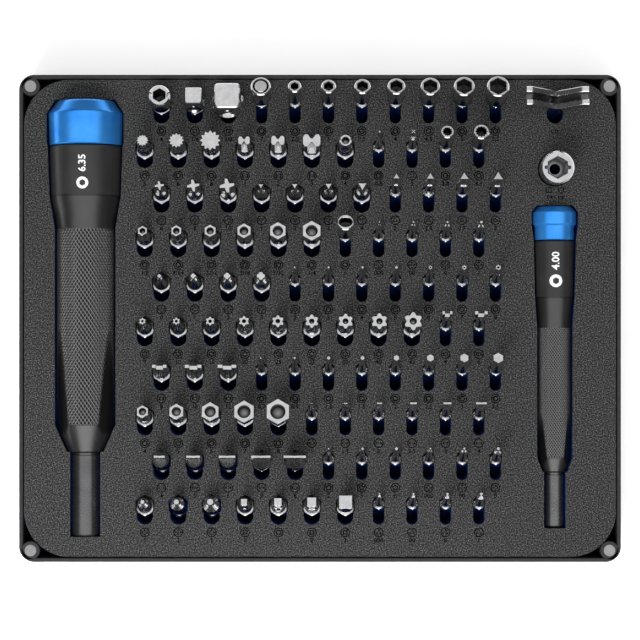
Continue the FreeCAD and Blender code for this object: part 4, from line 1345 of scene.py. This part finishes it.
    def shank(self) -> None:
        """A round shank with a chamfered mouth and a hexagonal socket."""
        outline = regular(6, (self.bit_across + self.socket_play) / math.sqrt(3), 0)
        phi = around(64, outline)
        socket = reach(outline, phi)
        radius = self.shank_radius
        grid = stack(phi, [
            (self.socket_depth, 0.0), (self.socket_depth, socket), (0.5, socket), (0.0, socket + 0.3),
            (0.0, radius - 0.6), (0.6, radius), (self.nose - 1.2, radius), (self.nose - 1.0, radius - 0.35),
            (self.nose - 0.3, radius - 0.35), (self.nose, self.tang_radius),
            (self.tang_end, self.tang_radius), (self.tang_end, 0.0),
        ])
        shell = Shell()
        shell.add_grid(lying(grid, self.axis))
        Finish.SHANK.on(shell.piece(f"{self.name}_turned_shank", self.name, "handle", f"{self.name}_shank"))

    def cap(self) -> None:
        """The cap: its outside follows the profile, and its inside is bored for the bearing."""
        phi = around(96)
        race_low, race_high = (np.array(c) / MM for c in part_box(f"{self.name}_bearing_outer"))
        bore = float(race_high[0] - race_low[0]) / 2
        seat = float(race_high[1] - self.axis[1])
        inside = [(self.cap_end - 4.6, 0.0), (self.cap_end - 4.6, bore * 0.6), (seat, bore * 0.6),
                  (seat, bore), (self.cap_start, bore)]
        shell = Shell()
        shell.add_grid(lying(stack(phi, [*inside, *self.cap_profile, (self.cap_end, 0.0)]), self.axis))
        Finish.CAP.on(shell.piece(f"{self.name}_turned_cap", f"{self.name}_spin", "cap", f"{self.name}_cap"))

    def on_body(self, flat: Array) -> Array:
        """Drops points on to the body: a point's height is that of the circle at its X, plus its own.

        Args:
            flat: points of shape (n, 3), with their heights above the body.

        Returns:
            The points in their places.
        """
        beside = flat[:, 0] - self.axis[0]
        radius = self.grip_profile(flat[:, 1] - self.axis[1])
        height = self.axis[2] + np.sqrt(radius ** 2 - beside ** 2) + flat[:, 2]
        return np.stack([flat[:, 0], flat[:, 1], height], axis=-1)

    def marks(self) -> None:
        """A disc with a hexagon in it and the socket's size, printed in white along the top of the body."""
        place = np.array([self.axis[0], self.axis[1] + self.label_middle, 0.0])
        size = (self.label, place, self.label_tall, math.pi / 2)
        Finish.PRINT.on(text_piece(f"{self.name}_size_print", self.name, [size], self.print_rise,
                                   self.on_body))
        corners = regular(6, self.disc_radius)
        phi = around(36, corners)
        outer, inner = self.disc_radius, reach(corners * 0.55, phi)
        face = 0.12
        middle = (self.axis[0], self.axis[1] + self.disc_middle)
        ring = stack(phi, [(0.0, outer), (face, outer), (face, (outer + inner) / 2), (face, inner),
                           (0.0, inner)], middle)
        shell = Shell()
        shell.add_grid(self.on_body(ring.reshape(-1, 3)).reshape(ring.shape), poles=False, ring=True)
        Finish.PRINT.on(shell.piece(f"{self.name}_disc_print", self.name, "handle"))

    def build(self) -> None:
        """Makes every piece of the driver."""
        self.handle()
        self.shank()
        self.cap()
        self.marks()


def large_driver() -> Driver:
    """The driver for quarter inch bits, with its sizes in millimetres.

    Returns:
        The driver, not yet built.
    """
    return Driver(
        name="large_driver", bit_across=6.35, socket_depth=12.0, tang_radius=4.0, tang_end=55.0, nose=29.8,
        nose_radius=6.1, grip_start=39.4, grip_radius=10.4, grip_end=109.2, collar=121.1, collar_radius=12.3,
        rear_radius=12.9, facet_start=73.2, starts=48, knurl_pitch=2.0, knurl_depth=0.5,
        cap_profile=((138.7, 12.5), (139.1, 12.9), (139.5, 12.92), (149.5, 13.29), (149.9, 13.3),
                     (150.25, 13.2), (150.6, 12.95), (153.8, 10.66), (154.1, 10.45), (154.4, 10.1)),
        label="6.35", label_middle=131.8, label_tall=2.6, disc_middle=124.9, disc_radius=2.1)


def small_driver() -> Driver:
    """The driver for four millimetre bits, with its sizes in millimetres.

    Returns:
        The driver, not yet built.
    """
    return Driver(
        name="small_driver", bit_across=4.0, socket_depth=10.0, tang_radius=2.6, tang_end=38.0, nose=19.7,
        nose_radius=3.98, grip_start=24.7, grip_radius=5.91, grip_end=71.25, collar=82.1, collar_radius=6.7,
        rear_radius=7.15, facet_start=40.6, starts=40, knurl_pitch=1.3, knurl_depth=0.3,
        cap_profile=((102.1, 6.85), (102.35, 7.12), (102.7, 7.12), (106.4, 7.12), (106.7, 7.12), (107.1, 7.2),
                     (107.6, 7.75), (107.8, 7.88), (108.1, 7.88), (111.5, 7.88), (111.8, 7.88), (112.1, 7.75),
                     (112.4, 7.47), (113.4, 6.53), (113.7, 6.25), (113.9, 6.0)),
        label="4.00", label_middle=94.6, label_tall=2.7, disc_middle=87.5, disc_radius=2.25)


# ---------------------------------------------------------------- case

@dataclass(frozen=True)
class Case:
    """The tray, its foam and its corner magnets."""

    wall: float = 1.5
    floor: float = 2.0
    corner_radius: float = 5.4
    post_radius: float = 3.3
    post_inset: float = 4.15
    magnet_seat: float = 2.06
    seat_depth: float = 3.0
    arc_steps: int = 14
    icon_radius: float = 1.72
    icon_gap: float = 2.7
    size_gap: float = 2.9
    size_tall: float = 1.6
    icon_rise: float = 0.015
    adapter_icons: float = 45.6
    wing_label: float = 66.2

    def rounded(self, half_long: float, half_deep: float, radius: float) -> Array:
        """A rounded rectangle's points: each corner's centre plus a quarter circle about it.

        Args:
            half_long: half its length along X.
            half_deep: half its depth along Y.
            radius: its corners' radius.

        Returns:
            The points, in order round it.
        """
        quarter = np.linspace(0, math.pi / 2, self.arc_steps)
        corners = []
        for n, (sx, sy) in enumerate(((1, 1), (-1, 1), (-1, -1), (1, -1))):
            a = quarter + n * math.pi / 2
            corners.append(np.stack([sx * (half_long - radius) + radius * np.cos(a),
                                     sy * (half_deep - radius) + radius * np.sin(a)], axis=-1))
        return np.concatenate(corners)

    def tray(self) -> None:
        """The tray: a wall profile carried round a rounded rectangle, closed under its floor."""
        low, high = (np.array(c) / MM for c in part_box("case_tray"))
        half_long, half_deep, tall = high[0], high[1], high[2]
        r, w = self.corner_radius, self.wall
        profile = [(1.0, 0.0), (0.25, 0.25), (0.0, 1.0), (0.0, tall - 0.75), (0.12, tall - 0.3),
                   (0.5, tall), (w - 0.2, tall), (w, tall - 0.2), (w, self.floor)]
        rings = [np.column_stack([self.rounded(half_long - inset, half_deep - inset, r - inset),
                                  np.full(4 * self.arc_steps, z)]) for inset, z in profile]
        grid = np.stack(rings)
        under = np.broadcast_to([0.0, 0.0, 0.0], grid[:1].shape)
        over = np.broadcast_to([0.0, 0.0, self.floor], grid[:1].shape)
        shell = Shell()
        shell.add_grid(np.concatenate([under, grid, over]))
        phi = around(32)
        seat, seat_floor = self.magnet_seat, tall - self.seat_depth
        for sx in (-1, 1):
            for sy in (-1, 1):
                centre = (sx * (half_long - self.post_inset), sy * (half_deep - self.post_inset))
                shell.add_grid(stack(phi, [
                    (self.floor - 0.5, 0.0), (self.floor - 0.5, self.post_radius),
                    (tall - 0.15, self.post_radius), (tall, self.post_radius - 0.15), (tall, seat + 0.1),
                    (tall - 0.1, seat), (seat_floor, seat), (seat_floor, 0.0)], centre))
        Finish.TRAY.on(shell.piece("tray_shell", "case", "tray", "case_tray"))

    def foam(self, nodes: dict) -> None:
        """The foam keeps its CAD shape, and only gets its two finishes."""
        Finish.FOAM_SKIN.on(nodes["foam_skin"])
        Finish.FOAM_CORE.on(nodes["foam_core"])

    def line_art(self, shell: Shell, corners: Array, thick: float, place: Sequence[float]) -> None:
        """Adds one outline as a low ring on the foam.

        Args:
            shell: what the ring is added to.
            corners: the outline's corners.
            thick: the ring's width, as a share of the outline's own reach.
            place: the ring's middle, at the height of the foam's top.
        """
        x, y, top = place
        phi = around(24, corners)
        outer = reach(corners, phi)
        inner = outer * (1 - thick)
        low, high = top - 0.1, top + self.icon_rise
        sections = [(low, outer), (high, outer), (high, inner), (low, inner)]
        shell.add_grid(stack(phi, sections, (x, y)), poles=False, ring=True)

    def icons(self, rows: Rows) -> None:
        """A ring with its drive's outline pressed into the foam in front of every slot, over its size.

        Args:
            rows: where the slots are.
        """
        low, high = (np.array(corner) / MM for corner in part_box("wing_nut_driver"))
        side = (low[0] + high[0]) / 2
        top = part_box("foam_skin")[1][2] / MM
        shell = Shell()
        lines = []
        for family in FAMILIES:
            for n, width in enumerate(family.widths):
                x = rows.across(family.row, family.column + n)
                y = rows.front(family.row) - self.icon_gap
                self.line_art(shell, regular(40, self.icon_radius), 0.2, (x, y, top))
                self.line_art(shell, self.symbol(family.tip), 0.42, (x, y, top))
                words = family.labels[n] if family.labels else f"{width:g}"
                lines.append((words, np.array([x, y - self.size_gap, top]), self.size_tall, 0.0))
        self.line_art(shell, rectangle(2.1, 2.1), 0.3, (side - 2.2, self.adapter_icons, top))
        self.line_art(shell, regular(6, 1.25), 0.3, (side + 2.2, self.adapter_icons, top))
        lines.append(("1/4 - 1/4", np.array([side, self.adapter_icons - 2.6, top]), 1.3, 0.0))
        lines.append(("6.35", np.array([side, self.wing_label, top]), 1.3, 0.0))
        Finish.ENGRAVING.on(shell.piece("slot_icons", "case", "foam_skin"))
        Finish.ENGRAVING.on(text_piece("slot_sizes", "case", lines, 0.02, lambda flat: flat))

    @staticmethod
    def symbol(tip: Tip) -> Array:
        """The drive's outline, no larger than fits inside the ring."""
        outline = tip.outline(2.0)
        return outline * (1.15 / np.abs(np.hypot(outline[:, 0], outline[:, 1])).max())


# ---------------------------------------------------------------- studio

@dataclass(frozen=True)
class Studio:
    """A pale floor, soft light from the front left and from above, and a camera straight overhead."""

    foam_plane: float = 0.02
    camera_height: float = 0.77
    lens: float = 122.0
    camera_y: float = -0.00057
    floor_half: float = 3.0

    def build(self) -> None:
        """Makes the floor, the lights, the sky and the camera."""
        scene = bpy.context.scene
        scene.view_settings.view_transform = "Standard"
        self.floor()
        self.sky(scene)
        self.light("key", (-0.14, -0.37, 0.38), (0.3, 0.3), 3.5, mirrored=False)
        self.light("fill", (0.7, 0.35, 1.2), (1.0, 1.0), 3.5, mirrored=False)
        self.light("front_strip", (0.0, -0.95, 0.75), (1.4, 0.35), 4.0)
        data = bpy.data.cameras.new("camera")
        data.lens = self.lens
        data.sensor_width = 36.0
        data.clip_start = 0.01
        camera = bpy.data.objects.new("camera", data)
        camera.location = (0.0, self.camera_y, self.foam_plane + self.camera_height)
        scene.collection.objects.link(camera)
        scene.camera = camera

    def floor(self) -> None:
        """A large flat sheet at the case's base."""
        mesh = bpy.data.meshes.new("floor")
        half = self.floor_half
        mesh.from_pydata([(-half, -half, 0), (half, -half, 0), (half, half, 0), (-half, half, 0)], [],
                         [(0, 1, 2, 3)])
        floor = bpy.data.objects.new("floor", mesh)
        bpy.context.scene.collection.objects.link(floor)
        Finish.FLOOR.on(floor)
        LOG.info("floor is a sheet %.1f m across", 2 * half)

    def sky(self, scene: bpy.types.Scene) -> None:
        """A plain sky, bright overhead and dimmer towards the horizon.

        Args:
            scene: the scene that it is for.
        """
        world = bpy.data.worlds.new("studio")
        scene.world = world
        world.use_nodes = True
        tree = world.node_tree
        place = tree.nodes.new("ShaderNodeTexCoord")
        split = tree.nodes.new("ShaderNodeSeparateXYZ")
        ramp = tree.nodes.new("ShaderNodeValToRGB")
        for place_at, level in ((0.58, 0.1), (0.74, 0.9)):
            ramp.color_ramp.elements.new(place_at).color = (level, level, level, 1)
        ramp.color_ramp.elements[0].color = (0.04, 0.04, 0.042, 1)
        ramp.color_ramp.elements[-1].color = (0.95, 0.95, 0.96, 1)
        tree.links.new(place.outputs["Generated"], split.inputs[0])
        tree.links.new(split.outputs["Z"], ramp.inputs["Fac"])
        tree.links.new(ramp.outputs["Color"], tree.nodes["Background"].inputs["Color"])
        tree.nodes["Background"].inputs["Strength"].default_value = 1.0

    def light(self, name: str, place: tuple[float, float, float], size: tuple[float, float],
              power: float, mirrored: bool = True) -> None:
        """A rectangular soft light that points at the case.

        Args:
            name: the light's name.
            place: its middle, in metres.
            size: its width and height, in metres.
            power: its power, in watts.
            mirrored: whether it shows in shiny surfaces.
        """
        data = bpy.data.lights.new(name, "AREA")
        data.shape = "RECTANGLE"
        data.size, data.size_y = size
        data.energy = power
        lamp = bpy.data.objects.new(name, data)
        lamp.location = place
        lamp.visible_glossy = mirrored
        back = np.array(place) / np.linalg.norm(place)
        lamp.rotation_euler = (math.acos(back[2]), 0.0, math.atan2(back[1], back[0]) + math.pi / 2)
        bpy.context.scene.collection.objects.link(lamp)


def dress_hidden(nodes: dict) -> None:
    """Finishes for the small metal CAD nodes, which keep their shape.

    Args:
        nodes: the frame's objects by name.
    """
    for name, node in nodes.items():
        if "corner_magnet" in name or "bit_magnet" in name:
            Finish.MAGNET.on(node)
            LOG.info("%s keeps its shape, as nickel", name)
        elif "bearing" in name or "axle_screw" in name:
            Finish.BEARING.on(node)
            LOG.info("%s keeps its shape, as polished steel", name)


def main() -> None:
    """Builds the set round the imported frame."""
    logging.basicConfig(level=logging.INFO, format="%(name)s: %(message)s")
    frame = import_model()
    studio = Studio()
    studio.build()
    rows = Rows()
    case = Case()
    case.tray()
    case.foam(frame["nodes"])
    case.icons(rows)
    dress_hidden(frame["nodes"])
    BitRack(FAMILIES, rows).build()
    UprightAdapter().build()
    for driver in (large_driver(), small_driver()):
        driver.build()


if __name__ == "__main__":
    main()
